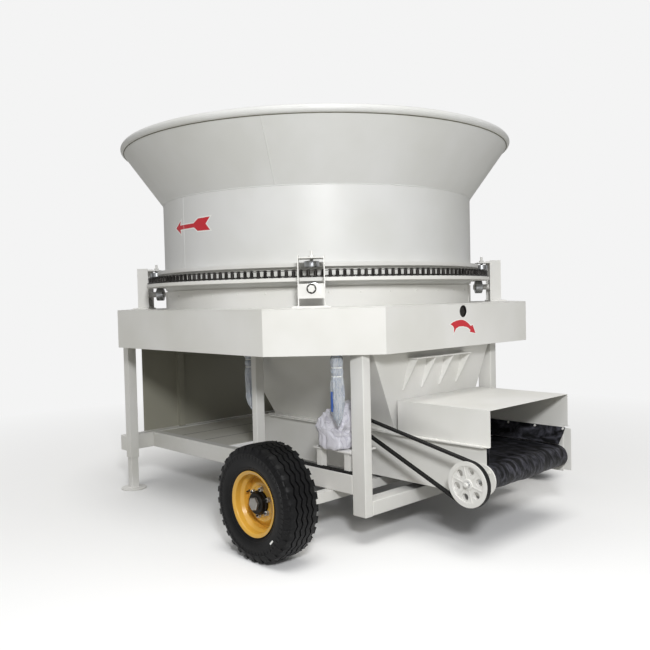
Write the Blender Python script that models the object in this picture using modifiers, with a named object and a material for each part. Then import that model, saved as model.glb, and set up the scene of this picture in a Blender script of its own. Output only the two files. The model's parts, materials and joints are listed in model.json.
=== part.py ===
# Round-tub crusher on two trailer wheels, with a discharge conveyor.
# Metres, +Z up. +X is the discharge end, -Y the side with the conveyor drive.
# The tub turns about a vertical axis. Inside the "machine" empty that axis is X = Y = 0.
import math

import bmesh
import bpy
from mathutils import Matrix, Vector

# Clearances
SEAT = 0.0003             # gap between pieces that touch
RUN = 0.0006              # gap of a turning piece on its pin or drum
CLEAR = 0.006             # gap of a turning piece to its fixed neighbours
SINK = 0.001              # depth that welded pieces share
TRIM = 0.002              # step that keeps the faces of welded pieces apart
CUT_MARGIN = 0.050        # reach of a cutter beyond what it cuts

# Sheet and facet counts
SHEET = 0.006             # deck and skirt sheet
RING_SEGMENTS = 64        # facets of the large rings
ROUND_SEGMENTS = 24       # facets of rollers and drums
PIN_SEGMENTS = 12         # facets of pins and bolt heads
PIPE_SEGMENTS = 8         # facets of the rolled rim
WHEEL_SEGMENTS = 36       # facets of wheels and tyres, alike so that the bead fits its seat
LOOP_STEPS = 16           # facets of a belt's half turn

# Deck: an octagonal box of folded sheet, which reaches round the tub and over the frame
DECK_END_MARGIN = 0.226   # beyond the tub, front and rear
DECK_SIDE_MARGIN = 0.111  # beyond the tub, right and left
DECK_OVERHANG = 0.470     # least reach beyond the side rails
DECK_CHAMFER = 0.580
DECK_TOP = 1.626
DECK_HEIGHT = 0.319
DECK_LIP = 0.060
DECK_BOTTOM = DECK_TOP - DECK_HEIGHT
UNDER_PLATE_BOTTOM = DECK_BOTTOM + SHEET + SEAT
UNDER_PLATE_SEAT = UNDER_PLATE_BOTTOM - SEAT
LIP_SEAT = DECK_BOTTOM - SEAT

# Width of the conveyor, and the side rails that flank it and its drive
CONVEYOR_HALF_Y = 0.500
DRIVE_ROOM = 0.461        # outer face of each rail beyond the conveyor's side plate
RAIL_Y = CONVEYOR_HALF_Y + DRIVE_ROOM

# Tub, with its heights built up from the fixed skirt
TUB_RADIUS = 1.334
TUB_WALL = 0.008
TUB_GAP = 0.014           # between the skirt's top edge and the tub
TUB_HEIGHT = 0.715
FLARE_SPREAD = 0.306      # from the tub wall out to the middle of the rim's pipe
FLARE_HEIGHT = 0.455
FLARE_WALL = 0.006
RIM_PIPE_RADIUS = 0.030
SKIRT_HEIGHT = 0.145
SKIRT_INSET = 0.004
FLOOR_DROP = 0.016        # floor below the skirt's top edge
FLOOR_THICKNESS = 0.010
DECK_HOLE_MARGIN = 0.030  # ring of deck plate left inside the skirt
DECK_HALF_X = TUB_RADIUS + DECK_END_MARGIN
DECK_HALF_Y = max(TUB_RADIUS + DECK_SIDE_MARGIN, RAIL_Y + DECK_OVERHANG)
CORNER_LINE = DECK_HALF_X + DECK_HALF_Y - DECK_CHAMFER    # X + Y along a corner panel
SKIRT_TOP = DECK_TOP + SKIRT_HEIGHT
SKIRT_RADIUS = TUB_RADIUS - SKIRT_INSET
FLOOR_TOP = SKIRT_TOP - FLOOR_DROP
TUB_BOTTOM = SKIRT_TOP + TUB_GAP
TUB_TOP = TUB_BOTTOM + TUB_HEIGHT
RIM_RADIUS = TUB_RADIUS + FLARE_SPREAD
RIM_Z = TUB_TOP + FLARE_HEIGHT

# Ring on the tub: track flange, web and guide collar, with the drive chain on the flange
TRACK_RISE = 0.025        # above the tub's lower edge
TRACK_THICKNESS = 0.025
TRACK_WIDTH = 0.156
WEB_THICKNESS = 0.010
COLLAR_WIDTH = 0.063
COLLAR_RISE = 0.132       # from the underside of the track to the top of the collar
COLLAR_THICKNESS = 0.028
CHAIN_INSET = 0.003
CHAIN_WIDTH = 0.048
CHAIN_HEIGHT = 0.057
TRACK_BOTTOM = TUB_BOTTOM + TRACK_RISE
TRACK_TOP = TRACK_BOTTOM + TRACK_THICKNESS
TRACK_RADIUS = TUB_RADIUS + TRACK_WIDTH
COLLAR_RADIUS = TUB_RADIUS + COLLAR_WIDTH
COLLAR_TOP = TRACK_BOTTOM + COLLAR_RISE

# Mill under the floor
MILL_X_LOW = 0.030
MILL_RIM_MARGIN = 0.110   # floor between the mill throat and the skirt
MILL_WALL = 0.008
ROTOR_DEPTH = 0.187       # shaft below the floor
ROTOR_RADIUS = 0.255
ROTOR_SIDE_GAP = 0.025
ROTOR_DRUM_RADIUS = 0.150
ROTOR_END_GAP = 0.020
SHAFT_RADIUS = 0.038
SHAFT_REAR_LENGTH = 0.120
SHAFT_HOLE_GAP = 0.007
HAMMER_PLANES = 2         # each plane of hammers crosses the drum from side to side
HAMMERS_PER_PLANE = 6
HAMMER_WIDTH = 0.050
HAMMER_THICKNESS = 0.030
MILL_X_HIGH = SKIRT_RADIUS - MILL_RIM_MARGIN
MILL_HALF_Y = ROTOR_RADIUS + ROTOR_SIDE_GAP
ROTOR_Z = FLOOR_TOP - ROTOR_DEPTH

# Roller brackets on the four deck corners
BRACKET_GAP = 0.015       # between the track flange and the bracket's side plates
BRACKET_DEPTH = 0.095
BRACKET_WIDTH = 0.187
BRACKET_PLATE = 0.008
BRACKET_BASE_WIDTH = 0.260
BRACKET_BASE_DEPTH = 0.140
BRACKET_BASE_STEP = 0.040 # base plate beyond the bracket's outer face
BRACKET_BASE_PLATE = 0.012
FRONT_PLATE_BELOW = 0.065 # outer plate below and above the support pin
FRONT_PLATE_ABOVE = 0.035
TOP_PLATE_GAP = 0.020     # above the collar
TOP_PLATE_REACH = 0.045   # inwards of the guide pin
BRACKET_EARS = 0.023      # side plates above the underside of the top plate
SUPPORT_ROLLER_RADIUS = 0.055
SUPPORT_ROLLER_LENGTH = 0.060
SUPPORT_ROLLER_INSET = 0.070
SUPPORT_PIN_RADIUS = 0.015
PIN_HEAD_RADIUS = 0.024
PIN_HEAD = 0.012
GUIDE_ROLLER_RADIUS = 0.0535
GUIDE_ROLLER_HEIGHT = 0.040
GUIDE_PIN_RADIUS = 0.011
GUIDE_HEAD_RADIUS = 0.0165
GUIDE_HEAD = 0.006
GUIDE_NUT_RADIUS = 0.021
GUIDE_NUT = 0.018
GUIDE_PIN_LENGTH = 0.058  # above the underside of the top plate
BRACKET_RADIUS = TRACK_RADIUS + BRACKET_GAP + BRACKET_DEPTH
SUPPORT_ROLLER_MIDDLE = TRACK_RADIUS - SUPPORT_ROLLER_INSET
SUPPORT_ROLLER_Z = TRACK_BOTTOM - SEAT - SUPPORT_ROLLER_RADIUS
GUIDE_ROLLER_MIDDLE = COLLAR_RADIUS + SEAT + GUIDE_ROLLER_RADIUS
GUIDE_ROLLER_LOW = COLLAR_TOP - COLLAR_THICKNESS / 2 - GUIDE_ROLLER_HEIGHT / 2
TOP_PLATE_Z = COLLAR_TOP + TOP_PLATE_GAP

# Frame under the deck
RAIL_WIDTH = 0.080
RAIL_BOTTOM = 0.342
RAIL_HEIGHT = 0.136
REAR_END_INSET = 0.180    # rear beam inwards of the deck's rear end
END_BEAM_WIDTH = 0.100
REAR_LEG_SIZE = 0.080
REAR_LEG_WALL = 0.005
REAR_LEG_OUT = 0.015      # middle of a rear leg beyond the corner panel, along Y
REAR_LEG_BOTTOM = 0.287
MIDDLE_LEG_X = 0.255
MIDDLE_LEG_SIZE_X = 0.060
MIDDLE_LEG_SIZE_Y = 0.080
FRONT_LEG_INSET = 0.129   # outer face inwards of the deck's front end
FRONT_LEG_SIZE_X = 0.120
FRONT_LEG_SIZE_Y = 0.075
FRONT_LEG_BOTTOM = 0.202
LEFT_LEG_GAP = 0.008      # between the front left leg and the conveyor's flange
FRONT_BEAM_STEP = 0.003   # front beam above the foot of the corner leg
FRONT_BEAM_HEIGHT = 0.100
JACK_GAP = 0.0008
JACK_TOP = 0.760
JACK_TRAVEL = 0.300       # room above the jack inside its leg
FOOT_RADIUS = 0.112
FOOT_THICKNESS = 0.012
BAY_FLOOR_THICKNESS = 0.005
BAY_FLOOR_DROP = 0.004
BAY_FLOOR_GAP = 0.020     # between the bay floor and the conveyor
END_WALL_INSET = 0.445    # rear wall's ends inwards of the deck's sides
END_WALL_THICKNESS = 0.006
STIFFENER_Y = 0.600
STIFFENER_WIDTH = 0.060
STIFFENER_DEPTH = 0.040
RAIL_TOP = RAIL_BOTTOM + RAIL_HEIGHT
REAR_END_X = REAR_END_INSET - DECK_HALF_X
FRONT_LEG_X = DECK_HALF_X - FRONT_LEG_INSET
END_WALL_HALF_Y = DECK_HALF_Y - END_WALL_INSET
RAIL_INNER_Y = RAIL_Y - RAIL_WIDTH
FRONT_BEAM_BOTTOM = FRONT_LEG_BOTTOM + FRONT_BEAM_STEP
LEG_INNER_X = FRONT_LEG_X - FRONT_LEG_SIZE_X
BEAM_INNER_X = REAR_END_X + END_BEAM_WIDTH
REAR_LEG_Y = CORNER_LINE + BEAM_INNER_X + REAR_LEG_SIZE + REAR_LEG_OUT

# Wheels
WHEEL_SETBACK = 0.231     # axle behind the inner face of the front legs
WHEEL_OUT = 0.086         # middle of the tyre beyond the deck's side
TYRE_RADIUS = 0.380
TYRE_WIDTH = 0.264
RIM_SEAT_RADIUS = 0.195
RIM_FLANGE_HEIGHT = 0.020
RIM_WIDTH = 0.229
RIM_SHEET = 0.006
RIM_FLANGE_STEP = 0.010   # width of a flange
DISC_OFFSET = 0.020       # disc outwards of the tyre's middle
DISC_SHEET = 0.006
DISC_FALL = 0.026         # disc's outer edge behind its flat middle
DISC_RISE = 0.016         # back of the disc's flat middle from the offset
DISC_FLAT = 0.050         # width of the flat middle round the hub
HUB_RADIUS = 0.062
HUB_STEP = 0.010          # front end of the hub from the offset
HUB_DEPTH = 0.060         # back end of the hub from the offset
HUB_CAP_RADIUS = 0.040
HUB_CAP_FOOT = 0.004      # wider by this at its foot
HUB_CAP_INSIDE = 0.045
HUB_CAP_REACH = 0.080
BEAD_GAP = 0.0115         # tyre's bead inwards of the wheel's edge
BEAD_STEP = 0.004
SIDEWALL_FOOT = 0.035     # above the flange
SIDEWALL_FOOT_SHARE = 0.96
TYRE_SECTION = ((0.0, 0.45), (0.006, 0.72), (0.024, 0.90), (0.080, 1.0))  # depth, share of half width
SPINDLE_RADIUS = 0.028
SPINDLE_REACH = 0.040     # beyond the wheel disc
AXLE_SIZE = 0.070
AXLE_END_GAP = 0.030      # between the axle's end and the tyre's side
AXLE_HEAD = 0.014
AXLE_HEAD_RISE = 0.0715   # above the spindle
AXLE_TOP = RAIL_BOTTOM - SEAT
WHEEL_X = LEG_INNER_X - WHEEL_SETBACK
WHEEL_Y = DECK_HALF_Y + WHEEL_OUT
RIM_FLANGE_RADIUS = RIM_SEAT_RADIUS + RIM_FLANGE_HEIGHT

# Conveyor
CONVEYOR_TAIL = 0.100     # conveyor behind the hopper's lower edge
CONVEYOR_BOTTOM = 0.366
CONVEYOR_HEIGHT = 0.334
CONVEYOR_SHEET = 0.006
CONVEYOR_FLANGE = 0.032
CONVEYOR_BACK_DROP = 0.010
DISCHARGE_REACH = 0.490   # head drum beyond the deck's front end
DRUM_RISE = 0.116         # drum shaft above the lower edge of the side plates
DRUM_RADIUS = 0.073
DRUM_SHAFT_RADIUS = 0.020
DRUM_SHAFT_END = 0.030    # shaft beyond the left side plate
BED_GAP = 0.060           # between the bed and the head drum
BELT_THICKNESS = 0.010
BELT_SIDE_GAP = 0.030
TAIL_STEP = 0.120         # tail roller behind the rear plate
SIDE_PLATE_END = 0.030    # side plates beyond the drum shaft
HOOD_OVERHANG = 0.036
HOOD_HEIGHT = 0.238
HOOD_SHEET = 0.003
HOOD_FLANGE = 0.030
HOOD_GAP = 0.002          # between the hood and the hopper's front wall
HOPPER_BACK_ROOM = 0.080  # hopper's upper edge behind the mill throat
HOPPER_BACK_LEAN = 0.050
HOPPER_BACK_TOP_X = MILL_X_LOW - HOPPER_BACK_ROOM
HOPPER_BACK_LOW_X = HOPPER_BACK_TOP_X - HOPPER_BACK_LEAN
CONVEYOR_REAR_X = HOPPER_BACK_LOW_X - CONVEYOR_TAIL
DRUM_X = DECK_HALF_X + DISCHARGE_REACH
LEFT_LEG_Y = CONVEYOR_HALF_Y + CONVEYOR_FLANGE + LEFT_LEG_GAP
CONVEYOR_TOP = CONVEYOR_BOTTOM + CONVEYOR_HEIGHT
CONVEYOR_FRONT_X = DRUM_X + SIDE_PLATE_END
TAIL_X = CONVEYOR_REAR_X + TAIL_STEP
DRUM_Z = CONVEYOR_BOTTOM + DRUM_RISE
BELT_HALF_WIDTH = CONVEYOR_HALF_Y - BELT_SIDE_GAP
HOOD_FRONT_X = CONVEYOR_FRONT_X + HOOD_OVERHANG
HOOD_TOP = CONVEYOR_TOP + HOOD_HEIGHT

# Hopper
HOPPER_FRONT_ROOM = 0.220 # hopper's upper edge in front of the mill throat
HOPPER_FRONT_LEAN = 0.178
HOPPER_LEG_GAP = 0.016    # between the hopper and the corner leg
HOPPER_SIDE_STEP = 0.050  # lower edge inwards of the conveyor's side plates
HOPPER_WALL = 0.006
HOPPER_FLANGE = 0.008
HOPPER_FLANGE_REAR = 0.045
HOPPER_FLANGE_GAP = 0.020
LEDGE_LENGTH = 0.660
LEDGE_INSET = 0.020       # ledge's end inwards of the conveyor's right side plate
LEDGE_REACH = 0.065
LEDGE_DROP = 0.068        # ledge below the closing plate
LEDGE_THICKNESS = 0.008
GUSSETS = 4
GUSSET_HEIGHT = 0.230
GUSSET_PLATE = 0.006
GUSSET_END = 0.012        # outer gussets inwards of the ledge's ends
GUSSET_TOE = 0.012
HOPPER_FRONT_TOP_X = MILL_X_HIGH + HOPPER_FRONT_ROOM
HOPPER_FRONT_LOW_X = HOPPER_FRONT_TOP_X - HOPPER_FRONT_LEAN
HOPPER_RIGHT_TOP_Y = FRONT_LEG_SIZE_Y + HOPPER_LEG_GAP - RAIL_Y
LEDGE_Y = LEDGE_INSET - CONVEYOR_HALF_Y
HOPPER_BOTTOM = CONVEYOR_TOP + SEAT
HOPPER_HALF_LOW_Y = CONVEYOR_HALF_Y - HOPPER_SIDE_STEP
HOPPER_FRONT_FALL = ((HOPPER_FRONT_TOP_X - HOPPER_FRONT_LOW_X)
                     / (UNDER_PLATE_SEAT - HOPPER_BOTTOM))
HOOD_BACK_X = HOPPER_FRONT_LOW_X + HOPPER_FRONT_FALL * (HOOD_TOP - HOPPER_BOTTOM) + HOOD_GAP
LEDGE_Z = UNDER_PLATE_SEAT - LEDGE_DROP

# Conveyor drive
PULLEY_STANDOFF = 0.150   # pulley's middle beyond the right side plate
PULLEY_RADIUS = 0.149
PULLEY_WIDTH = 0.046
PULLEY_SEGMENTS = 48
PULLEY_HOLES = 6
PULLEY_HOLE_RADIUS = 0.026
PULLEY_HOLE_PITCH_RADIUS = 0.088
PULLEY_HOLE_SEGMENTS = 16
PULLEY_HOLE_TURN = 0.25   # first hole ahead of the X axis, in steps of the pattern
SHAFT_STICK_OUT = 0.010
GROOVE_DEPTH = 0.013
GROOVE_SIDE_GAP = 0.0012
V_BELT_WIDTH = 0.034
V_BELT_DEPTH = 0.016
DRIVE_REACH = 0.935       # motor shaft behind the drum shaft
MOTOR_RISE = 0.145        # motor shaft above its base
MOTOR_PULLEY_RADIUS = 0.050
MOTOR_SHAFT_RADIUS = 0.020
MOTOR_RADIUS = 0.120
MOTOR_LENGTH = 0.265
MOTOR_NOSE = 0.055        # from the motor's body to the middle of its pulley
MOTOR_FOOT_WIDTH = 0.200
MOTOR_FOOT_INSET = 0.040
MOTOR_FOOT_SINK = 0.036   # top of the foot block inside the motor's body
MOTOR_BASE_RISE = 0.152   # above the rail
MOTOR_BASE_THICKNESS = 0.012
MOTOR_BASE_REAR = 0.190
MOTOR_BASE_FRONT = 0.185
MOTOR_POST_INSET = 0.012  # posts inwards of the rail's outer face
MOTOR_POST_SIZE = 0.050
MOTOR_POST_REAR = 0.165
MOTOR_POST_FRONT = 0.160
MOTOR_X = DRUM_X - DRIVE_REACH
PULLEY_Y = -CONVEYOR_HALF_Y - PULLEY_STANDOFF
MOTOR_INNER_Y = PULLEY_Y - MOTOR_NOSE
MOTOR_OUTER_Y = MOTOR_INNER_Y - MOTOR_LENGTH
MOTOR_BASE_TOP = RAIL_TOP + MOTOR_BASE_RISE
MOTOR_Z = MOTOR_BASE_TOP + MOTOR_RISE
V_BELT_OUTER = PULLEY_RADIUS - GROOVE_DEPTH + RUN + V_BELT_DEPTH

# Bundles in clear film hung under the deck, and the tie hook
BUNDLE_RADIUS = 0.042
BUNDLE_LENGTH = 0.493
BUNDLE_NECK = 0.060
BUNDLE_TAPER = 0.160
BUNDLE_TIE_RADIUS = 0.021
BUNDLE_SHOULDER_RADIUS = 0.038
BUNDLE_END_RADIUS = 0.034
REAR_BUNDLE_STEP = 0.085  # behind the middle leg
REAR_BUNDLE_INSET = 0.525 # inwards of the deck's side
FRONT_BUNDLE_STEP = 0.049 # behind the inner face of the corner leg
BUNDLE_LIP_GAP = 0.043    # front bundle inwards of the corner panel's lip, along Y
HOOK_RADIUS = 0.008
HOOK_DROP = 0.040         # below the deck top
HOOK_REACH = 0.028
HOOK_BEND = 0.050
HOOK_TAIL = 0.030
HOOK_STEPS = 5
HOOK_ALONG = 0.30         # share of the corner panel, from its rear end
REAR_BUNDLE_X = MIDDLE_LEG_X - REAR_BUNDLE_STEP
REAR_BUNDLE_Y = REAR_BUNDLE_INSET - DECK_HALF_Y
FRONT_BUNDLE_X = LEG_INNER_X - FRONT_BUNDLE_STEP
FRONT_BUNDLE_Y = FRONT_BUNDLE_X + math.sqrt(2) * DECK_LIP + BUNDLE_LIP_GAP - CORNER_LINE

# The model's origin is the middle of its footprint, so the tub axis stands behind it
MODEL_REACH_FRONT = DRUM_X + V_BELT_OUTER
MODEL_REACH_REAR = RIM_RADIUS + RIM_PIPE_RADIUS
TUB_AXIS_X = (MODEL_REACH_REAR - MODEL_REACH_FRONT) / 2

# Colours (linear RGB), roughness, metallic
PAINT = ((0.62, 0.61, 0.55), 0.45, 0.0)
WORN_PAINT = ((0.55, 0.54, 0.48), 0.55, 0.0)
DARK_STEEL = ((0.06, 0.06, 0.065), 0.45, 0.8)
BRIGHT_STEEL = ((0.50, 0.50, 0.50), 0.35, 1.0)
TYRE_RUBBER = ((0.012, 0.012, 0.013), 0.8, 0.0)
BELT_RUBBER = ((0.015, 0.015, 0.017), 0.75, 0.0)
WHEEL_YELLOW = ((0.68, 0.36, 0.06), 0.4, 0.0)
BAG_FILM = ((0.60, 0.61, 0.66), 0.3, 0.0)
CLEAR_FILM = ((0.55, 0.62, 0.68), 0.15, 0.0)

PARTS_COLLECTION = "tub_crusher"
CUTTERS_COLLECTION = "cutters"


def clear_scene():
    for obj in list(bpy.data.objects):
        bpy.data.objects.remove(obj, do_unlink=True)


def make_collection(name):
    collection = bpy.data.collections.new(name)
    bpy.context.scene.collection.children.link(collection)
    return collection


clear_scene()
parts = make_collection(PARTS_COLLECTION)
cutters = make_collection(CUTTERS_COLLECTION)


def empty(name, location, parent=None):
    """A joint axis or reference point, placed in its parent's frame."""
    obj = bpy.data.objects.new(name, None)
    obj.empty_display_size = 0.1
    obj.location = location
    obj.parent = parent
    parts.objects.link(obj)
    return obj


machine = empty("machine", (TUB_AXIS_X, 0, 0))


def finish(obj, look):
    """Give a sub-part its own Principled material."""
    colour, roughness, metallic = look
    material = bpy.data.materials.new(obj.name + "_finish")
    material.use_nodes = True
    shader = material.node_tree.nodes["Principled BSDF"]
    shader.inputs["Base Color"].default_value = (*colour, 1.0)
    shader.inputs["Roughness"].default_value = roughness
    shader.inputs["Metallic"].default_value = metallic
    obj.data.materials.clear()
    obj.data.materials.append(material)
    return obj


def add_mesh(name, mesh, parent=machine, location=(0, 0, 0), rotation=(0, 0, 0)):
    obj = bpy.data.objects.new(name, mesh)
    obj.location = location
    obj.rotation_euler = rotation
    obj.parent = parent
    parts.objects.link(obj)
    return obj


def box(name, low, high, parent=machine):
    """A box from its low corner to its high corner, in its parent's frame."""
    low = Vector(low)
    high = Vector(high)
    mesh = bpy.data.meshes.new(name)
    bm = bmesh.new()
    bmesh.ops.create_cube(bm, size=1.0)
    bmesh.ops.scale(bm, vec=high - low, verts=bm.verts)
    bmesh.ops.translate(bm, vec=(low + high) / 2, verts=bm.verts)
    bm.to_mesh(mesh)
    bm.free()
    return add_mesh(name, mesh, parent)


def side_box(name, low, high, side, parent=machine):
    """A box given for the left side (+Y); side -1 puts it on the right side."""
    y_values = sorted((low[1] * side, high[1] * side))
    return box(name, (low[0], y_values[0], low[2]), (high[0], y_values[1], high[2]), parent)


TURN_TO = {
    "X": Matrix.Rotation(math.radians(90), 4, "Y"),
    "Y": Matrix.Rotation(math.radians(-90), 4, "X"),
    "Z": Matrix.Identity(4),
}


def cylinder(name, radius, start, end, axis, parent=machine, centre=(0, 0),
             segments=ROUND_SEGMENTS, end_radius=None):
    """A cylinder or cone along an axis, from start to end; centre holds the other two coordinates."""
    mesh = bpy.data.meshes.new(name)
    bm = bmesh.new()
    top_radius = radius if end_radius is None else end_radius
    bmesh.ops.create_cone(bm, cap_ends=True, segments=segments, radius1=radius,
                          radius2=top_radius, depth=end - start)
    middle = (start + end) / 2
    place = {
        "X": (middle, centre[0], centre[1]),
        "Y": (centre[0], middle, centre[1]),
        "Z": (centre[0], centre[1], middle),
    }[axis]
    bmesh.ops.transform(bm, matrix=Matrix.Translation(place) @ TURN_TO[axis], verts=bm.verts)
    bm.to_mesh(mesh)
    bm.free()
    mesh.shade_smooth()
    mesh.set_sharp_from_angle(angle=math.radians(30))
    return add_mesh(name, mesh, parent)


def turned(name, profile, parent=machine, rotation=(0, 0, 0), location=(0, 0, 0),
           segments=RING_SEGMENTS):
    """A closed (radius, height) outline turned round the object's Z axis."""
    mesh = bpy.data.meshes.new(name)
    points = [(radius, 0.0, height) for radius, height in profile]
    count = len(points)
    edges = [(index, (index + 1) % count) for index in range(count)]
    mesh.from_pydata(points, edges, [])
    obj = add_mesh(name, mesh, parent, location, rotation)
    screw = obj.modifiers.new("Turn", "SCREW")
    screw.axis = "Z"
    screw.angle = math.tau
    screw.steps = segments
    screw.render_steps = segments
    screw.use_merge_vertices = True
    screw.merge_threshold = 0.0001
    screw.use_smooth_shade = False
    return obj


def outline_mesh(name, outlines, thickness):
    """A flat sheet in XY from closed outlines (inner ones are holes), centred on Z = 0."""
    curve = bpy.data.curves.new(name, "CURVE")
    curve.dimensions = "2D"
    curve.fill_mode = "BOTH"
    curve.extrude = thickness / 2
    for outline in outlines:
        spline = curve.splines.new("POLY")
        spline.points.add(len(outline) - 1)
        for point, (x, y) in zip(spline.points, outline):
            point.co = (x, y, 0, 1)
        spline.use_cyclic_u = True
    guide = bpy.data.objects.new(name + "_outline", curve)
    cutters.objects.link(guide)
    bpy.context.view_layer.update()
    evaluated = guide.evaluated_get(bpy.context.evaluated_depsgraph_get())
    mesh = bpy.data.meshes.new_from_object(evaluated)
    bpy.data.objects.remove(guide, do_unlink=True)
    bm = bmesh.new()
    bm.from_mesh(mesh)
    bmesh.ops.remove_doubles(bm, verts=bm.verts, dist=0.00005)
    bm.to_mesh(mesh)
    bm.free()
    return mesh


def plate(name, outlines, bottom, top, parent=machine):
    """A horizontal plate between two heights."""
    mesh = outline_mesh(name, outlines, top - bottom)
    mesh.transform(Matrix.Translation((0, 0, (bottom + top) / 2)))
    return add_mesh(name, mesh, parent)


def upright_plate(name, outlines, y_low, y_high, parent=machine):
    """A plate whose outline is given as (x, z), standing between two Y values."""
    mesh = outline_mesh(name, outlines, y_high - y_low)
    stand_up = Matrix.Rotation(math.radians(90), 4, "X")
    mesh.transform(Matrix.Translation((0, (y_low + y_high) / 2, 0)) @ stand_up)
    return add_mesh(name, mesh, parent)


def combine(obj, tool, operation):
    """Join or cut with a tool object, which goes to the cutters' collection."""
    modifier = obj.modifiers.new(operation.title() + "_" + tool.name, "BOOLEAN")
    modifier.operation = operation
    modifier.solver = "EXACT"
    modifier.object = tool
    if tool.name in parts.objects:
        parts.objects.unlink(tool)
        cutters.objects.link(tool)
    tool.hide_render = True
    tool.display_type = "WIRE"
    return obj


def join(obj, *tools):
    for tool in tools:
        combine(obj, tool, "UNION")
    return obj


def cut(obj, *tools):
    for tool in tools:
        combine(obj, tool, "DIFFERENCE")
    return obj


def octagon(inset):
    """The deck's outline, moved inwards."""
    half_x = DECK_HALF_X - inset
    half_y = DECK_HALF_Y - inset
    corner = DECK_CHAMFER - inset * (2 - math.sqrt(2))
    flat_x = half_x - corner
    flat_y = half_y - corner
    return [(flat_x, -half_y), (half_x, -flat_y), (half_x, flat_y), (flat_x, half_y),
            (-flat_x, half_y), (-half_x, flat_y), (-half_x, -flat_y), (-flat_x, -half_y)]


def circle(radius, segments, centre=(0, 0)):
    return [(centre[0] + radius * math.cos(math.tau * index / segments),
             centre[1] + radius * math.sin(math.tau * index / segments))
            for index in range(segments)]


def rectangle(x_low, x_high, y_low, y_high):
    return [(x_low, y_low), (x_high, y_low), (x_high, y_high), (x_low, y_high)]


SIDES = {"right": -1, "left": 1}
CORNERS = {
    "front_right": (1, -1),
    "front_left": (1, 1),
    "rear_left": (-1, 1),
    "rear_right": (-1, -1),
}


def build_deck():
    """Folded side panels with lips, the deck plate on top and the closing plate below."""
    panels_top = DECK_TOP - SHEET - SEAT
    panels = plate("deck_panels", [octagon(0)], DECK_BOTTOM, panels_top)
    opening = plate("cut_deck_opening", [octagon(DECK_LIP)], DECK_BOTTOM - CUT_MARGIN,
                    panels_top + CUT_MARGIN)
    hollow = plate("cut_deck_hollow", [octagon(SHEET)], DECK_BOTTOM + SHEET, panels_top - SHEET)
    shaft_hole = cylinder("cut_deck_shaft_hole", SHAFT_RADIUS + SHAFT_HOLE_GAP,
                          DECK_HALF_X - CUT_MARGIN, DECK_HALF_X + CUT_MARGIN, "X", centre=(0, ROTOR_Z))
    cut(panels, opening, hollow, shaft_hole)
    finish(panels, PAINT)

    top = plate("deck_plate", [octagon(0), circle(SKIRT_RADIUS - SHEET - DECK_HOLE_MARGIN, RING_SEGMENTS)],
                DECK_TOP - SHEET, DECK_TOP)
    finish(top, PAINT)

    under_outline = octagon(SHEET + SEAT)
    under_hole = rectangle(MILL_X_LOW, MILL_X_HIGH, -MILL_HALF_Y, MILL_HALF_Y)
    under = plate("under_plate", [under_outline, under_hole], UNDER_PLATE_BOTTOM,
                  UNDER_PLATE_BOTTOM + SHEET)
    finish(under, WORN_PAINT)


def build_tub():
    """The turning tub: wall, flare, rolled rim, track ring and chain."""
    axis = empty("tub_axis", (0, 0, 0), machine)
    inner = TUB_RADIUS - TUB_WALL
    wall = turned("tub_wall", [(TUB_RADIUS, TUB_TOP), (TUB_RADIUS, TUB_BOTTOM),
                               (inner, TUB_BOTTOM), (inner, TUB_TOP)], axis)
    finish(wall, PAINT)

    flare_low = TUB_TOP + SEAT
    flare_high = RIM_Z - RIM_PIPE_RADIUS - SEAT
    flare_radius = RIM_RADIUS + FLARE_WALL / 2
    flare = turned("tub_flare", [(flare_radius, flare_high), (TUB_RADIUS, flare_low),
                                 (TUB_RADIUS - FLARE_WALL, flare_low),
                                 (flare_radius - FLARE_WALL, flare_high)], axis)
    finish(flare, PAINT)

    pipe = [(RIM_RADIUS + RIM_PIPE_RADIUS * math.cos(-math.tau * step / PIPE_SEGMENTS),
             RIM_Z + RIM_PIPE_RADIUS * math.sin(-math.tau * step / PIPE_SEGMENTS))
            for step in range(PIPE_SEGMENTS)]
    finish(turned("tub_rim", pipe, axis), PAINT)

    ring_inner = TUB_RADIUS + SEAT
    web_outer = ring_inner + WEB_THICKNESS
    collar_low = COLLAR_TOP - COLLAR_THICKNESS
    ring = turned("tub_ring", [(ring_inner, COLLAR_TOP), (COLLAR_RADIUS, COLLAR_TOP),
                               (COLLAR_RADIUS, collar_low), (web_outer, collar_low),
                               (web_outer, TRACK_TOP), (TRACK_RADIUS, TRACK_TOP),
                               (TRACK_RADIUS, TRACK_BOTTOM), (ring_inner, TRACK_BOTTOM)], axis)
    finish(ring, PAINT)

    chain_low = TRACK_TOP + SEAT
    chain_high = chain_low + CHAIN_HEIGHT
    chain_out = TRACK_RADIUS - CHAIN_INSET
    chain_in = chain_out - CHAIN_WIDTH
    chain = turned("drive_chain", [(chain_out, chain_high), (chain_out, chain_low),
                                   (chain_in, chain_low), (chain_in, chain_high)], axis)
    finish(chain, DARK_STEEL)


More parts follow.
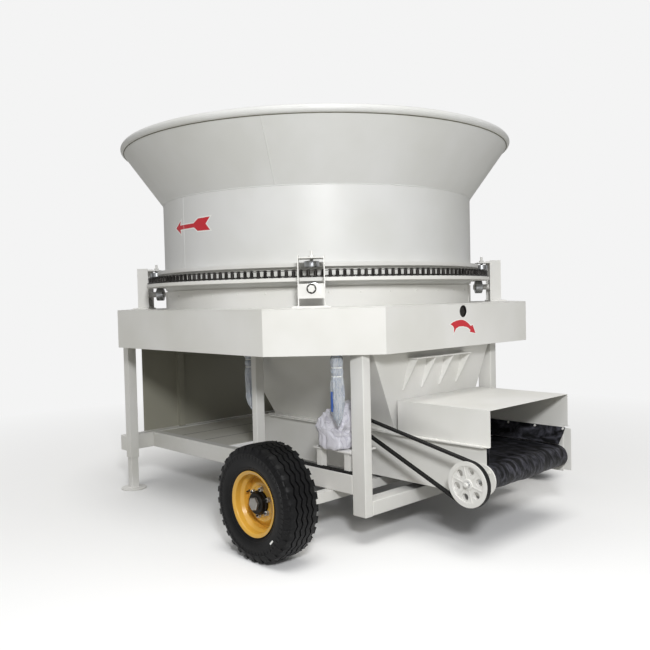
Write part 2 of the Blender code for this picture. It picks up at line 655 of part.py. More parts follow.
def build_floor_and_mill():
    """The fixed skirt and floor under the tub, the mill housing and its rotor."""
    inner = SKIRT_RADIUS - SHEET
    skirt = turned("tub_skirt", [(SKIRT_RADIUS, SKIRT_TOP), (SKIRT_RADIUS, DECK_TOP + SEAT),
                                 (inner, DECK_TOP + SEAT), (inner, SKIRT_TOP)])
    finish(skirt, PAINT)

    slot = rectangle(MILL_X_LOW, MILL_X_HIGH, -MILL_HALF_Y, MILL_HALF_Y)
    floor = plate("tub_floor", [circle(inner - SEAT, RING_SEGMENTS), slot],
                  FLOOR_TOP - FLOOR_THICKNESS, FLOOR_TOP)
    finish(floor, WORN_PAINT)

    outer = rectangle(MILL_X_LOW - MILL_WALL, MILL_X_HIGH + MILL_WALL,
                      -MILL_HALF_Y - MILL_WALL, MILL_HALF_Y + MILL_WALL)
    housing_low = UNDER_PLATE_BOTTOM + SHEET + SEAT
    housing_high = FLOOR_TOP - FLOOR_THICKNESS - SEAT
    housing = plate("mill_housing", [outer, slot], housing_low, housing_high)
    bore = cylinder("cut_mill_bore", SHAFT_RADIUS + RUN, MILL_X_LOW - CUT_MARGIN,
                    MILL_X_HIGH + CUT_MARGIN, "X", centre=(0, ROTOR_Z))
    finish(cut(housing, bore), PAINT)

    axis = empty("rotor_axis", (0, 0, ROTOR_Z), machine)
    drum_low = MILL_X_LOW + ROTOR_END_GAP
    drum_high = MILL_X_HIGH - ROTOR_END_GAP
    shaft_end = DECK_HALF_X - SHEET - CLEAR
    shaft_start = MILL_X_LOW - SHAFT_REAR_LENGTH
    rotor = turned("rotor", [(0.0, shaft_end), (SHAFT_RADIUS, shaft_end),
                             (SHAFT_RADIUS, drum_high), (ROTOR_DRUM_RADIUS, drum_high),
                             (ROTOR_DRUM_RADIUS, drum_low), (SHAFT_RADIUS, drum_low),
                             (SHAFT_RADIUS, shaft_start), (0.0, shaft_start)],
                   axis, rotation=(0, math.radians(90), 0), segments=ROUND_SEGMENTS)
    last_plane = (HAMMER_PLANES - 1) / HAMMER_PLANES
    first = drum_low + TRIM
    pitch = (drum_high - TRIM - first - HAMMER_THICKNESS) / (HAMMERS_PER_PLANE - 1 + last_plane)
    half = HAMMER_WIDTH / 2
    tip = math.sqrt(ROTOR_RADIUS ** 2 - half ** 2)
    for plane in range(HAMMER_PLANES):
        turn = Matrix.Rotation(math.pi * plane / HAMMER_PLANES, 4, "X")
        for index in range(HAMMERS_PER_PLANE):
            start = first + pitch * (index + plane / HAMMER_PLANES)
            hammer = box("join_hammer_{}_{}".format(plane, index), (start, -half, -tip),
                         (start + HAMMER_THICKNESS, half, tip), axis)
            hammer.data.transform(turn)
            join(rotor, hammer)
    finish(rotor, DARK_STEEL)


def build_bracket(corner, x_sign, y_sign):
    """A welded bracket with the two pins that its rollers turn on, and the two rollers."""
    angle = math.atan2(y_sign, x_sign)
    frame = empty("bracket_frame_" + corner, (0, 0, 0), machine)
    frame.rotation_euler = (0, 0, angle)
    half = BRACKET_WIDTH / 2
    base_low = DECK_TOP + SEAT
    base_high = base_low + BRACKET_BASE_PLATE
    inner = BRACKET_RADIUS - BRACKET_DEPTH
    base_outer = BRACKET_RADIUS + BRACKET_BASE_STEP
    plate_inner = BRACKET_RADIUS - BRACKET_PLATE
    top_plate_high = TOP_PLATE_Z + BRACKET_PLATE
    roller_z = SUPPORT_ROLLER_Z
    guide_radius = GUIDE_ROLLER_MIDDLE
    guide_low = GUIDE_ROLLER_LOW
    support_in = SUPPORT_ROLLER_MIDDLE - SUPPORT_ROLLER_LENGTH / 2
    support_out = SUPPORT_ROLLER_MIDDLE + SUPPORT_ROLLER_LENGTH / 2
    half_base = BRACKET_BASE_WIDTH / 2

    base = box("bracket_" + corner, (base_outer - BRACKET_BASE_DEPTH, -half_base, base_low),
               (base_outer, half_base, base_high), frame)
    pieces = []
    for mark, y_low in (("a", -half), ("b", half - BRACKET_PLATE)):
        pieces.append(box("join_side_{}_{}".format(mark, corner), (inner, y_low, base_high - TRIM),
                          (BRACKET_RADIUS, y_low + BRACKET_PLATE, TOP_PLATE_Z + BRACKET_EARS), frame))
    pieces.append(box("join_front_" + corner,
                      (plate_inner, -half + TRIM, roller_z - FRONT_PLATE_BELOW),
                      (BRACKET_RADIUS - SINK, half - TRIM, roller_z + FRONT_PLATE_ABOVE), frame))
    pieces.append(box("join_top_" + corner,
                      (guide_radius - TOP_PLATE_REACH, -half + TRIM, TOP_PLATE_Z),
                      (BRACKET_RADIUS - SINK, half - TRIM, top_plate_high), frame))
    support_at = (0, roller_z)
    pieces.append(cylinder("join_support_pin_" + corner, SUPPORT_PIN_RADIUS, support_in - RUN - SINK,
                           BRACKET_RADIUS + SINK, "X", frame, support_at, segments=PIN_SEGMENTS))
    pieces.append(cylinder("join_support_head_" + corner, PIN_HEAD_RADIUS, support_in - RUN - PIN_HEAD,
                           support_in - RUN, "X", frame, support_at, segments=PIN_SEGMENTS))
    pieces.append(cylinder("join_support_nut_" + corner, PIN_HEAD_RADIUS, BRACKET_RADIUS - 2 * SINK,
                           BRACKET_RADIUS + PIN_HEAD, "X", frame, support_at, segments=6))
    pieces.append(cylinder("join_support_sleeve_" + corner, PIN_HEAD_RADIUS, support_out + RUN,
                           plate_inner + SINK, "X", frame, support_at, segments=PIN_SEGMENTS))
    guide_at = (guide_radius, 0)
    pieces.append(cylinder("join_guide_pin_" + corner, GUIDE_PIN_RADIUS, guide_low - RUN - TRIM,
                           TOP_PLATE_Z + GUIDE_PIN_LENGTH, "Z", frame, guide_at, segments=PIN_SEGMENTS))
    pieces.append(cylinder("join_guide_head_" + corner, GUIDE_HEAD_RADIUS, guide_low - RUN - GUIDE_HEAD,
                           guide_low - RUN, "Z", frame, guide_at, segments=PIN_SEGMENTS))
    pieces.append(cylinder("join_guide_nut_" + corner, GUIDE_NUT_RADIUS, top_plate_high - SINK,
                           top_plate_high + GUIDE_NUT, "Z", frame, guide_at, segments=6))
    finish(join(base, *pieces), PAINT)

    support_axis = empty("support_axis_" + corner, (SUPPORT_ROLLER_MIDDLE, 0, roller_z), frame)
    half_length = SUPPORT_ROLLER_LENGTH / 2
    bore = SUPPORT_PIN_RADIUS + RUN
    support = turned("support_roller_" + corner,
                     [(SUPPORT_ROLLER_RADIUS, half_length), (SUPPORT_ROLLER_RADIUS, -half_length),
                      (bore, -half_length), (bore, half_length)],
                     support_axis, rotation=(0, math.radians(90), 0), segments=ROUND_SEGMENTS)
    finish(support, BRIGHT_STEEL)

    guide_axis = empty("guide_axis_" + corner, (guide_radius, 0, guide_low), frame)
    bore = GUIDE_PIN_RADIUS + RUN
    guide = turned("guide_roller_" + corner,
                   [(GUIDE_ROLLER_RADIUS, GUIDE_ROLLER_HEIGHT), (GUIDE_ROLLER_RADIUS, 0.0),
                    (bore, 0.0), (bore, GUIDE_ROLLER_HEIGHT)],
                   guide_axis, segments=ROUND_SEGMENTS)
    finish(guide, BRIGHT_STEEL)


def build_frame():
    """Rails, end beams, legs, the floor of the rear bay and the rear wall."""
    for name, side in SIDES.items():
        rail = side_box("rail_" + name, (BEAM_INNER_X + SEAT, RAIL_INNER_Y, RAIL_BOTTOM),
                        (LEG_INNER_X - SEAT, RAIL_Y, RAIL_TOP), side)
        finish(rail, PAINT)
        middle_low = MIDDLE_LEG_X - MIDDLE_LEG_SIZE_X / 2
        middle = side_box("leg_middle_" + name,
                          (middle_low, RAIL_Y - MIDDLE_LEG_SIZE_Y, RAIL_TOP + SEAT),
                          (middle_low + MIDDLE_LEG_SIZE_X, RAIL_Y, UNDER_PLATE_SEAT), side)
        finish(middle, PAINT)

        leg_x = BEAM_INNER_X + SEAT
        leg_y = REAR_LEG_Y - REAR_LEG_SIZE
        wall = REAR_LEG_WALL
        leg = side_box("leg_rear_" + name, (leg_x, leg_y, REAR_LEG_BOTTOM),
                       (leg_x + REAR_LEG_SIZE, REAR_LEG_Y, LIP_SEAT), side)
        hollow = side_box("cut_leg_" + name, (leg_x + wall, leg_y + wall, REAR_LEG_BOTTOM - CUT_MARGIN),
                          (leg_x + REAR_LEG_SIZE - wall, REAR_LEG_Y - wall, JACK_TOP + JACK_TRAVEL), side)
        finish(cut(leg, hollow), PAINT)

        jack_axis = empty("jack_axis_" + name,
                          (leg_x + REAR_LEG_SIZE / 2, side * (leg_y + REAR_LEG_SIZE / 2), 0), machine)
        tube_half = REAR_LEG_SIZE / 2 - wall - JACK_GAP
        jack = box("jack_" + name, (-tube_half, -tube_half, FOOT_THICKNESS / 2),
                   (tube_half, tube_half, JACK_TOP), jack_axis)
        foot = cylinder("join_foot_" + name, FOOT_RADIUS, 0.0, FOOT_THICKNESS, "Z", jack_axis)
        finish(join(jack, foot), PAINT)

    right_leg = box("leg_front_right", (LEG_INNER_X, -RAIL_Y, FRONT_LEG_BOTTOM),
                    (FRONT_LEG_X, -RAIL_Y + FRONT_LEG_SIZE_Y, LIP_SEAT))
    finish(right_leg, PAINT)
    beam_top = FRONT_BEAM_BOTTOM + FRONT_BEAM_HEIGHT
    left_leg = box("leg_front_left", (LEG_INNER_X, LEFT_LEG_Y, beam_top + SEAT),
                   (FRONT_LEG_X, LEFT_LEG_Y + FRONT_LEG_SIZE_Y, UNDER_PLATE_SEAT))
    finish(left_leg, PAINT)
    front_beam = box("end_beam_front",
                     (LEG_INNER_X, -RAIL_Y + FRONT_LEG_SIZE_Y + SEAT, FRONT_BEAM_BOTTOM),
                     (FRONT_LEG_X, RAIL_Y, beam_top))
    post = box("join_front_post", (LEG_INNER_X, RAIL_Y - FRONT_LEG_SIZE_Y, FRONT_BEAM_BOTTOM),
               (FRONT_LEG_X, RAIL_Y, RAIL_TOP))
    finish(join(front_beam, post), PAINT)
    rear_beam = box("end_beam_rear", (REAR_END_X, -REAR_LEG_Y, RAIL_BOTTOM),
                    (BEAM_INNER_X, REAR_LEG_Y, RAIL_TOP))
    finish(rear_beam, PAINT)

    floor_high = RAIL_TOP - BAY_FLOOR_DROP
    floor = box("bay_floor",
                (BEAM_INNER_X + SEAT, -RAIL_INNER_Y + SEAT, floor_high - BAY_FLOOR_THICKNESS),
                (CONVEYOR_REAR_X - BAY_FLOOR_GAP, RAIL_INNER_Y - SEAT, floor_high))
    finish(floor, WORN_PAINT)

    wall_low_z = RAIL_TOP + SEAT
    wall_face_x = REAR_END_X + END_WALL_THICKNESS
    wall = box("rear_wall", (REAR_END_X, -END_WALL_HALF_Y, wall_low_z),
               (wall_face_x, END_WALL_HALF_Y, LIP_SEAT))
    for index, y in enumerate((-STIFFENER_Y, STIFFENER_Y)):
        stiffener = box("join_stiffener_{}".format(index),
                        (wall_face_x - SINK, y - STIFFENER_WIDTH / 2, wall_low_z + TRIM),
                        (wall_face_x + STIFFENER_DEPTH, y + STIFFENER_WIDTH / 2, LIP_SEAT - TRIM))
        join(wall, stiffener)
    finish(wall, PAINT)


def wheel_profile():
    """The pressed wheel: flanges, well and a dished disc down to the hub."""
    half = RIM_WIDTH / 2
    seat = RIM_SEAT_RADIUS
    step = half - RIM_FLANGE_STEP
    inside = seat - RIM_SHEET
    disc = DISC_OFFSET
    bore = SPINDLE_RADIUS + RUN
    flat_back = disc + DISC_RISE
    flat_front = flat_back + DISC_SHEET
    edge_back = flat_back - DISC_FALL - DISC_SHEET * 2
    return [(RIM_FLANGE_RADIUS, half), (seat, step), (seat, -step),
            (RIM_FLANGE_RADIUS, -half), (inside, -half), (inside, edge_back),
            (HUB_RADIUS + DISC_FLAT, flat_back), (HUB_RADIUS, disc + HUB_STEP),
            (HUB_RADIUS, disc - HUB_DEPTH), (bore, disc - HUB_DEPTH),
            (bore, disc + HUB_CAP_INSIDE), (0.0, disc + HUB_CAP_INSIDE), (0.0, disc + HUB_CAP_REACH),
            (HUB_CAP_RADIUS, disc + HUB_CAP_REACH), (HUB_CAP_RADIUS + HUB_CAP_FOOT, flat_front),
            (HUB_RADIUS + DISC_FLAT, flat_front), (inside, edge_back + DISC_SHEET * 2), (inside, half)]


def tyre_profile():
    """Tyre section from the outer shoulder to the inner one, then back over the rim seat."""
    half = TYRE_WIDTH / 2
    bead = RIM_SEAT_RADIUS + SEAT
    flange = RIM_FLANGE_RADIUS + SEAT
    bead_half = RIM_WIDTH / 2 - BEAD_GAP
    side = [(TYRE_RADIUS - depth, half * share) for depth, share in TYRE_SECTION]
    side += [(flange + SIDEWALL_FOOT, half * SIDEWALL_FOOT_SHARE),
             (flange + BEAD_STEP, bead_half + BEAD_STEP), (bead, bead_half)]
    mirrored = [(radius, -height) for radius, height in reversed(side)]
    outer = side + mirrored
    start = outer.index(side[-1])
    return list(reversed(outer[start + 1:] + outer[:start + 1]))


def build_wheels():
    """One axle with raised spindles, and on each side a wheel and its tyre."""
    beam_reach = WHEEL_Y - TYRE_WIDTH / 2 - AXLE_END_GAP
    half = AXLE_SIZE / 2
    beam_low = AXLE_TOP - AXLE_SIZE
    beam = box("axle", (WHEEL_X - half, -beam_reach, beam_low), (WHEEL_X + half, beam_reach, AXLE_TOP))
    for name, side in SIDES.items():
        head = side_box("join_axle_head_" + name,
                        (WHEEL_X - half - TRIM, beam_reach - AXLE_HEAD, beam_low - TRIM),
                        (WHEEL_X + half + TRIM, beam_reach + TRIM, TYRE_RADIUS + AXLE_HEAD_RISE), side)
        spindle_end = WHEEL_Y + DISC_OFFSET + SPINDLE_REACH
        low, high = sorted((side * (beam_reach - AXLE_HEAD / 2), side * spindle_end))
        spindle = cylinder("join_spindle_" + name, SPINDLE_RADIUS, low, high, "Y",
                           centre=(WHEEL_X, TYRE_RADIUS))
        join(beam, head, spindle)

        axis = empty("wheel_axis_" + name, (WHEEL_X, side * WHEEL_Y, TYRE_RADIUS), machine)
        outwards = (math.radians(-90 * side), 0, 0)
        wheel = turned("wheel_" + name, wheel_profile(), axis, rotation=outwards, segments=WHEEL_SEGMENTS)
        finish(wheel, WHEEL_YELLOW)
        tyre = turned("tyre_" + name, tyre_profile(), axis, rotation=outwards, segments=WHEEL_SEGMENTS)
        finish(tyre, TYRE_RUBBER)
    finish(beam, WORN_PAINT)


def loft_box(name, top, bottom, z_top, z_bottom):
    """A block with one rectangle on top and another below, each (x_low, x_high, y_low, y_high)."""
    mesh = bpy.data.meshes.new(name)
    bm = bmesh.new()
    bmesh.ops.create_cube(bm, size=1.0)
    for vert in bm.verts:
        x_low, x_high, y_low, y_high = top if vert.co.z > 0 else bottom
        vert.co.x = x_high if vert.co.x > 0 else x_low
        vert.co.y = y_high if vert.co.y > 0 else y_low
        vert.co.z = z_top if vert.co.z > 0 else z_bottom
    bm.to_mesh(mesh)
    bm.free()
    return add_mesh(name, mesh)


def build_hopper():
    """The sheet hopper between mill and conveyor, with the ledge on its front wall."""
    top = (HOPPER_BACK_TOP_X, HOPPER_FRONT_TOP_X, HOPPER_RIGHT_TOP_Y, CONVEYOR_HALF_Y)
    bottom = (HOPPER_BACK_LOW_X, HOPPER_FRONT_LOW_X, -HOPPER_HALF_LOW_Y, HOPPER_HALF_LOW_Y)
    hopper = loft_box("hopper", top, bottom, UNDER_PLATE_SEAT, HOPPER_BOTTOM)
    flange = box("join_hopper_flange",
                 (HOPPER_BACK_LOW_X - HOPPER_FLANGE_REAR, -CONVEYOR_HALF_Y, HOPPER_BOTTOM),
                 (HOOD_BACK_X - HOPPER_FLANGE_GAP, CONVEYOR_HALF_Y, HOPPER_BOTTOM + HOPPER_FLANGE))

    ledge_front = HOPPER_FRONT_TOP_X + LEDGE_REACH
    ledge = box("join_ledge", (HOPPER_FRONT_TOP_X - LEDGE_REACH / 2, LEDGE_Y, LEDGE_Z),
                (ledge_front, LEDGE_Y + LEDGE_LENGTH, LEDGE_Z + LEDGE_THICKNESS))
    join(hopper, flange, ledge)
    foot_z = LEDGE_Z - GUSSET_HEIGHT
    foot_x = HOPPER_FRONT_TOP_X - HOPPER_FRONT_FALL * (UNDER_PLATE_SEAT - foot_z)
    back_x = foot_x - GUSSET_TOE
    gusset_top = LEDGE_Z + LEDGE_THICKNESS / 2
    outline = [(back_x, foot_z), (foot_x + GUSSET_TOE, foot_z),
               (ledge_front - TRIM, gusset_top), (back_x, gusset_top)]
    span = LEDGE_LENGTH - 2 * GUSSET_END - GUSSET_PLATE
    for index in range(GUSSETS):
        y = LEDGE_Y + GUSSET_END + span * index / (GUSSETS - 1)
        gusset = upright_plate("join_gusset_{}".format(index), [outline], y, y + GUSSET_PLATE)
        join(hopper, gusset)

    wall = HOPPER_WALL
    inner_top = (top[0] + wall, top[1] - wall, top[2] + wall, top[3] - wall)
    inner_bottom = (bottom[0] + wall, bottom[1] - wall, bottom[2] + wall, bottom[3] - wall)
    grow = CUT_MARGIN
    slopes = [(inner_top[i] - inner_bottom[i]) / (UNDER_PLATE_SEAT - HOPPER_BOTTOM) for i in range(4)]
    cut_top = tuple(inner_top[i] + slopes[i] * grow for i in range(4))
    cut_bottom = tuple(inner_bottom[i] - slopes[i] * grow for i in range(4))
    space = loft_box("cut_hopper_space", cut_top, cut_bottom, UNDER_PLATE_SEAT + grow, HOPPER_BOTTOM - grow)
    finish(cut(hopper, space), PAINT)


def clear_of(radius, steps=LOOP_STEPS, turn=math.pi):
    """Radius of a faceted bend's corners whose flats stay outside a circle."""
    return radius / math.cos(turn / steps / 2)


def stadium(x_low, x_high, z, radius, steps=LOOP_STEPS):
    """Outline of a loop round two equal drums."""
    points = []
    for index in range(steps + 1):
        angle = -math.pi / 2 + math.pi * index / steps
        points.append((x_high + radius * math.cos(angle), z + radius * math.sin(angle)))
    for index in range(steps + 1):
        angle = math.pi / 2 + math.pi * index / steps
        points.append((x_low + radius * math.cos(angle), z + radius * math.sin(angle)))
    return points


def open_belt(offset, steps=LOOP_STEPS):
    """Outline of a belt round the drive pulley and the motor pulley, a given height over their seats."""
    span_x = DRUM_X - MOTOR_X
    span_z = DRUM_Z - MOTOR_Z
    length = math.hypot(span_x, span_z)
    heading = math.atan2(span_z, span_x)
    lean = math.acos((PULLEY_RADIUS - MOTOR_PULLEY_RADIUS) / length)
    big = clear_of(PULLEY_RADIUS - GROOVE_DEPTH + offset, turn=2 * (math.pi - lean))
    small = clear_of(MOTOR_PULLEY_RADIUS - GROOVE_DEPTH + offset, turn=2 * lean)
    points = []
    for index in range(steps + 1):
        angle = heading - (math.pi - lean) + 2 * (math.pi - lean) * index / steps
        points.append((DRUM_X + big * math.cos(angle), DRUM_Z + big * math.sin(angle)))
    for index in range(steps + 1):
        angle = heading + (math.pi - lean) + 2 * lean * index / steps
        points.append((MOTOR_X + small * math.cos(angle), MOTOR_Z + small * math.sin(angle)))
    return points


def build_conveyor():
    """Side plates with the bed, the belt loop, head drum and hood."""
    belt_inner = clear_of(DRUM_RADIUS + RUN)
    belt_outer = belt_inner + BELT_THICKNESS
    inner_y = CONVEYOR_HALF_Y - CONVEYOR_SHEET
    sides = []
    for name, side in SIDES.items():
        y_low, y_high = sorted((side * inner_y, side * CONVEYOR_HALF_Y))
        outline = [(CONVEYOR_REAR_X, CONVEYOR_BOTTOM), (CONVEYOR_FRONT_X, CONVEYOR_BOTTOM),
                   (CONVEYOR_FRONT_X, CONVEYOR_TOP - TRIM), (CONVEYOR_REAR_X, CONVEYOR_TOP - TRIM)]
        hole = circle(DRUM_SHAFT_RADIUS + RUN, ROUND_SEGMENTS, (DRUM_X, DRUM_Z))
        label = "conveyor_frame" if side < 0 else "join_conveyor_side"
        sides.append(upright_plate(label, [outline, hole], y_low, y_high))
        flange = side_box("join_conveyor_flange_" + name,
                          (CONVEYOR_REAR_X + TRIM, inner_y + TRIM, CONVEYOR_TOP - CONVEYOR_SHEET),
                          (CONVEYOR_FRONT_X - TRIM, CONVEYOR_HALF_Y + CONVEYOR_FLANGE, CONVEYOR_TOP), side)
        sides.append(flange)
    frame = sides[0]
    bed_top = DRUM_Z + belt_inner - SEAT
    weld_y = inner_y + SINK
    back_x = CONVEYOR_REAR_X + TRIM + SINK
    bed = box("join_conveyor_bed", (TAIL_X + DRUM_RADIUS, -weld_y, bed_top - CONVEYOR_SHEET),
              (DRUM_X - DRUM_RADIUS - BED_GAP, weld_y, bed_top))
    tail = cylinder("join_tail_roller", DRUM_RADIUS, -weld_y, weld_y, "Y", centre=(TAIL_X, DRUM_Z))
    back = box("join_conveyor_back", (back_x, -weld_y, CONVEYOR_BOTTOM + TRIM + SINK),
               (back_x + CONVEYOR_SHEET, weld_y, CONVEYOR_TOP - CONVEYOR_BACK_DROP))
    finish(join(frame, *sides[1:], bed, tail, back), PAINT)

    belt = upright_plate("conveyor_belt",
                         [stadium(TAIL_X, DRUM_X, DRUM_Z, belt_outer),
                          stadium(TAIL_X, DRUM_X, DRUM_Z, belt_inner)],
                         -BELT_HALF_WIDTH, BELT_HALF_WIDTH)
    finish(belt, BELT_RUBBER)

    axis = empty("drum_axis", (DRUM_X, 0, DRUM_Z), machine)
    drum_half = BELT_HALF_WIDTH + BELT_THICKNESS
    shaft_right = PULLEY_Y - PULLEY_WIDTH / 2 - SHAFT_STICK_OUT
    shaft_left = CONVEYOR_HALF_Y + DRUM_SHAFT_END
    drum = turned("head_drum", [(0.0, -shaft_right), (DRUM_SHAFT_RADIUS, -shaft_right),
                                (DRUM_SHAFT_RADIUS, drum_half), (DRUM_RADIUS, drum_half),
                                (DRUM_RADIUS, -drum_half), (DRUM_SHAFT_RADIUS, -drum_half),
                                (DRUM_SHAFT_RADIUS, -shaft_left), (0.0, -shaft_left)],
                  axis, rotation=(math.radians(90), 0, 0), segments=ROUND_SEGMENTS)
    finish(drum, BRIGHT_STEEL)

    hood_half = CONVEYOR_HALF_Y
    hood_low = CONVEYOR_TOP + SEAT
    edge = hood_half + HOOD_FLANGE
    section = [(-edge, hood_low), (-hood_half, hood_low), (-hood_half, HOOD_TOP),
               (hood_half, HOOD_TOP), (hood_half, hood_low), (edge, hood_low)]
    mesh = bpy.data.meshes.new("discharge_hood")
    bm = bmesh.new()
    previous = None
    for y, z in section:
        back = bm.verts.new((HOOD_BACK_X, y, z))
        front = bm.verts.new((HOOD_FRONT_X, y, z))
        if previous:
            bm.faces.new((previous[0], previous[1], front, back))
        previous = (back, front)
    bm.to_mesh(mesh)
    bm.free()
    hood = add_mesh("discharge_hood", mesh)
    thick = hood.modifiers.new("Sheet", "SOLIDIFY")
    thick.thickness = HOOD_SHEET
    thick.offset = 1.0
    thick.use_even_offset = True
    finish(hood, PAINT)
    return axis


def build_drive(drum_axis):
    """Pulley on the drum shaft, the V-belt, and the motor on its base."""
    half = PULLEY_WIDTH / 2
    seat = PULLEY_RADIUS - GROOVE_DEPTH
    groove = V_BELT_WIDTH / 2 + GROOVE_SIDE_GAP
    bore = DRUM_SHAFT_RADIUS + SEAT
    pulley = turned("drive_pulley", [(PULLEY_RADIUS, half), (PULLEY_RADIUS, groove), (seat, groove),
                                     (seat, -groove), (PULLEY_RADIUS, -groove),
                                     (PULLEY_RADIUS, -half), (bore, -half), (bore, half)],
                    drum_axis, location=(0, PULLEY_Y, 0), rotation=(math.radians(90), 0, 0),
                    segments=PULLEY_SEGMENTS)
    for index in range(PULLEY_HOLES):
        angle = math.tau * (index + PULLEY_HOLE_TURN) / PULLEY_HOLES
        hole = cylinder("cut_pulley_hole_{}".format(index), PULLEY_HOLE_RADIUS,
                        PULLEY_Y - half - CUT_MARGIN, PULLEY_Y + half + CUT_MARGIN, "Y", drum_axis,
                        (PULLEY_HOLE_PITCH_RADIUS * math.cos(angle),
                         PULLEY_HOLE_PITCH_RADIUS * math.sin(angle)),
                        segments=PULLEY_HOLE_SEGMENTS)
        cut(pulley, hole)
    finish(pulley, PAINT)

    belt = upright_plate("v_belt", [open_belt(RUN + V_BELT_DEPTH), open_belt(RUN)],
                         PULLEY_Y - V_BELT_WIDTH / 2, PULLEY_Y + V_BELT_WIDTH / 2)
    finish(belt, BELT_RUBBER)

    small = MOTOR_PULLEY_RADIUS
    small_seat = small - GROOVE_DEPTH
    length = MOTOR_INNER_Y - MOTOR_OUTER_Y
    pulley_at = PULLEY_Y - MOTOR_OUTER_Y
    motor = turned("conveyor_motor",
                   [(0.0, pulley_at + half), (small, pulley_at + half), (small, pulley_at + groove),
                    (small_seat, pulley_at + groove), (small_seat, pulley_at - groove),
                    (small, pulley_at - groove), (small, pulley_at - half),
                    (MOTOR_SHAFT_RADIUS, pulley_at - half), (MOTOR_SHAFT_RADIUS, length),
                    (MOTOR_RADIUS, length),
                    (MOTOR_RADIUS, 0.0), (0.0, 0.0)],
                   location=(MOTOR_X, MOTOR_OUTER_Y, MOTOR_Z), rotation=(math.radians(-90), 0, 0),
                   segments=ROUND_SEGMENTS)
    foot = box("join_motor_foot",
               (MOTOR_X - MOTOR_FOOT_WIDTH / 2, MOTOR_OUTER_Y + MOTOR_FOOT_INSET, MOTOR_BASE_TOP + SEAT),
               (MOTOR_X + MOTOR_FOOT_WIDTH / 2, MOTOR_INNER_Y - MOTOR_FOOT_INSET,
                MOTOR_Z - MOTOR_RADIUS + MOTOR_FOOT_SINK))
    finish(join(motor, foot), BAG_FILM)

    base_low = MOTOR_BASE_TOP - MOTOR_BASE_THICKNESS
    base = box("motor_base", (MOTOR_X - MOTOR_BASE_REAR, SINK - RAIL_Y, base_low),
               (MOTOR_X + MOTOR_BASE_FRONT, MOTOR_INNER_Y, MOTOR_BASE_TOP))
    post_y = MOTOR_POST_INSET - RAIL_Y
    for index, x in enumerate((MOTOR_X - MOTOR_POST_REAR, MOTOR_X + MOTOR_POST_FRONT - MOTOR_POST_SIZE)):
        post = box("join_motor_post_{}".format(index), (x, post_y, RAIL_TOP + SEAT),
                   (x + MOTOR_POST_SIZE, post_y + MOTOR_POST_SIZE, base_low + TRIM))
        join(base, post)
    finish(base, PAINT)


def build_bundles():
    """Two film-wrapped bundles that hang from the closing plate."""
    places = {"rear": (REAR_BUNDLE_X, REAR_BUNDLE_Y), "front": (FRONT_BUNDLE_X, FRONT_BUNDLE_Y)}
    top = UNDER_PLATE_SEAT
    bottom = top - BUNDLE_LENGTH
    for name, centre in places.items():
        bundle = turned("wrapped_bundle_" + name,
                        [(0.0, top), (BUNDLE_TIE_RADIUS, top), (BUNDLE_SHOULDER_RADIUS, top - BUNDLE_NECK),
                         (BUNDLE_RADIUS, bottom + BUNDLE_TAPER),
                         (BUNDLE_END_RADIUS, bottom + BUNDLE_NECK), (0.0, bottom)],
                        location=(centre[0], centre[1], 0), segments=PIN_SEGMENTS)
        finish(bundle, CLEAR_FILM)


def build_hook():
    """The tie hook on the rear right corner of the deck."""
    curve = bpy.data.curves.new("tie_hook", "CURVE")
    curve.dimensions = "3D"
    curve.bevel_depth = HOOK_RADIUS
    curve.bevel_resolution = 2
    curve.use_fill_caps = True
    spline = curve.splines.new("POLY")
    start = Vector((-DECK_HALF_X + DECK_CHAMFER * HOOK_ALONG,
                    -DECK_HALF_Y + DECK_CHAMFER * (1 - HOOK_ALONG), DECK_TOP - HOOK_DROP))
    out = Vector((-1, -1, 0)).normalized()
    down = Vector((0, 0, -1))
    face = start + out * SEAT
    root = face + out * HOOK_RADIUS
    bend = []
    for step in range(HOOK_STEPS + 1):
        angle = math.pi / 2 * step / HOOK_STEPS
        bend.append(root + out * (HOOK_REACH * math.sin(angle)) + down * (HOOK_BEND * (1 - math.cos(angle))))
    points = [face] + bend + [bend[-1] + down * HOOK_TAIL]
    spline.points.add(len(points) - 1)
    for point, place in zip(spline.points, points):
        point.co = (*place, 1)
    obj = bpy.data.objects.new("tie_hook", curve)
    obj.parent = machine
    parts.objects.link(obj)
    finish(obj, PAINT)


build_deck()
build_tub()
build_floor_and_mill()
for corner_name, (corner_x, corner_y) in CORNERS.items():
    build_bracket(corner_name, corner_x, corner_y)
build_frame()
build_wheels()
build_hopper()
build_drive(build_conveyor())
build_bundles()
build_hook()
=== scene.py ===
# %% [markdown]
# # A round-tub crusher, dressed for its picture
#
# The machine is a turning tub with a flared mouth over a hammer mill, on a folded sheet deck
# with legs and two trailer wheels. A belt under the hopper carries the crushed stuff out.
#
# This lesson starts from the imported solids. Each solid already has its real size and place, so
# the work here is what the eye sees: rounded edges, welds, bolts, chain links, tread and paint.

# %% Load the solids and name the places that the rest is built from
import json
import math

import bmesh
import bpy
from mathutils import Matrix, Vector, noise


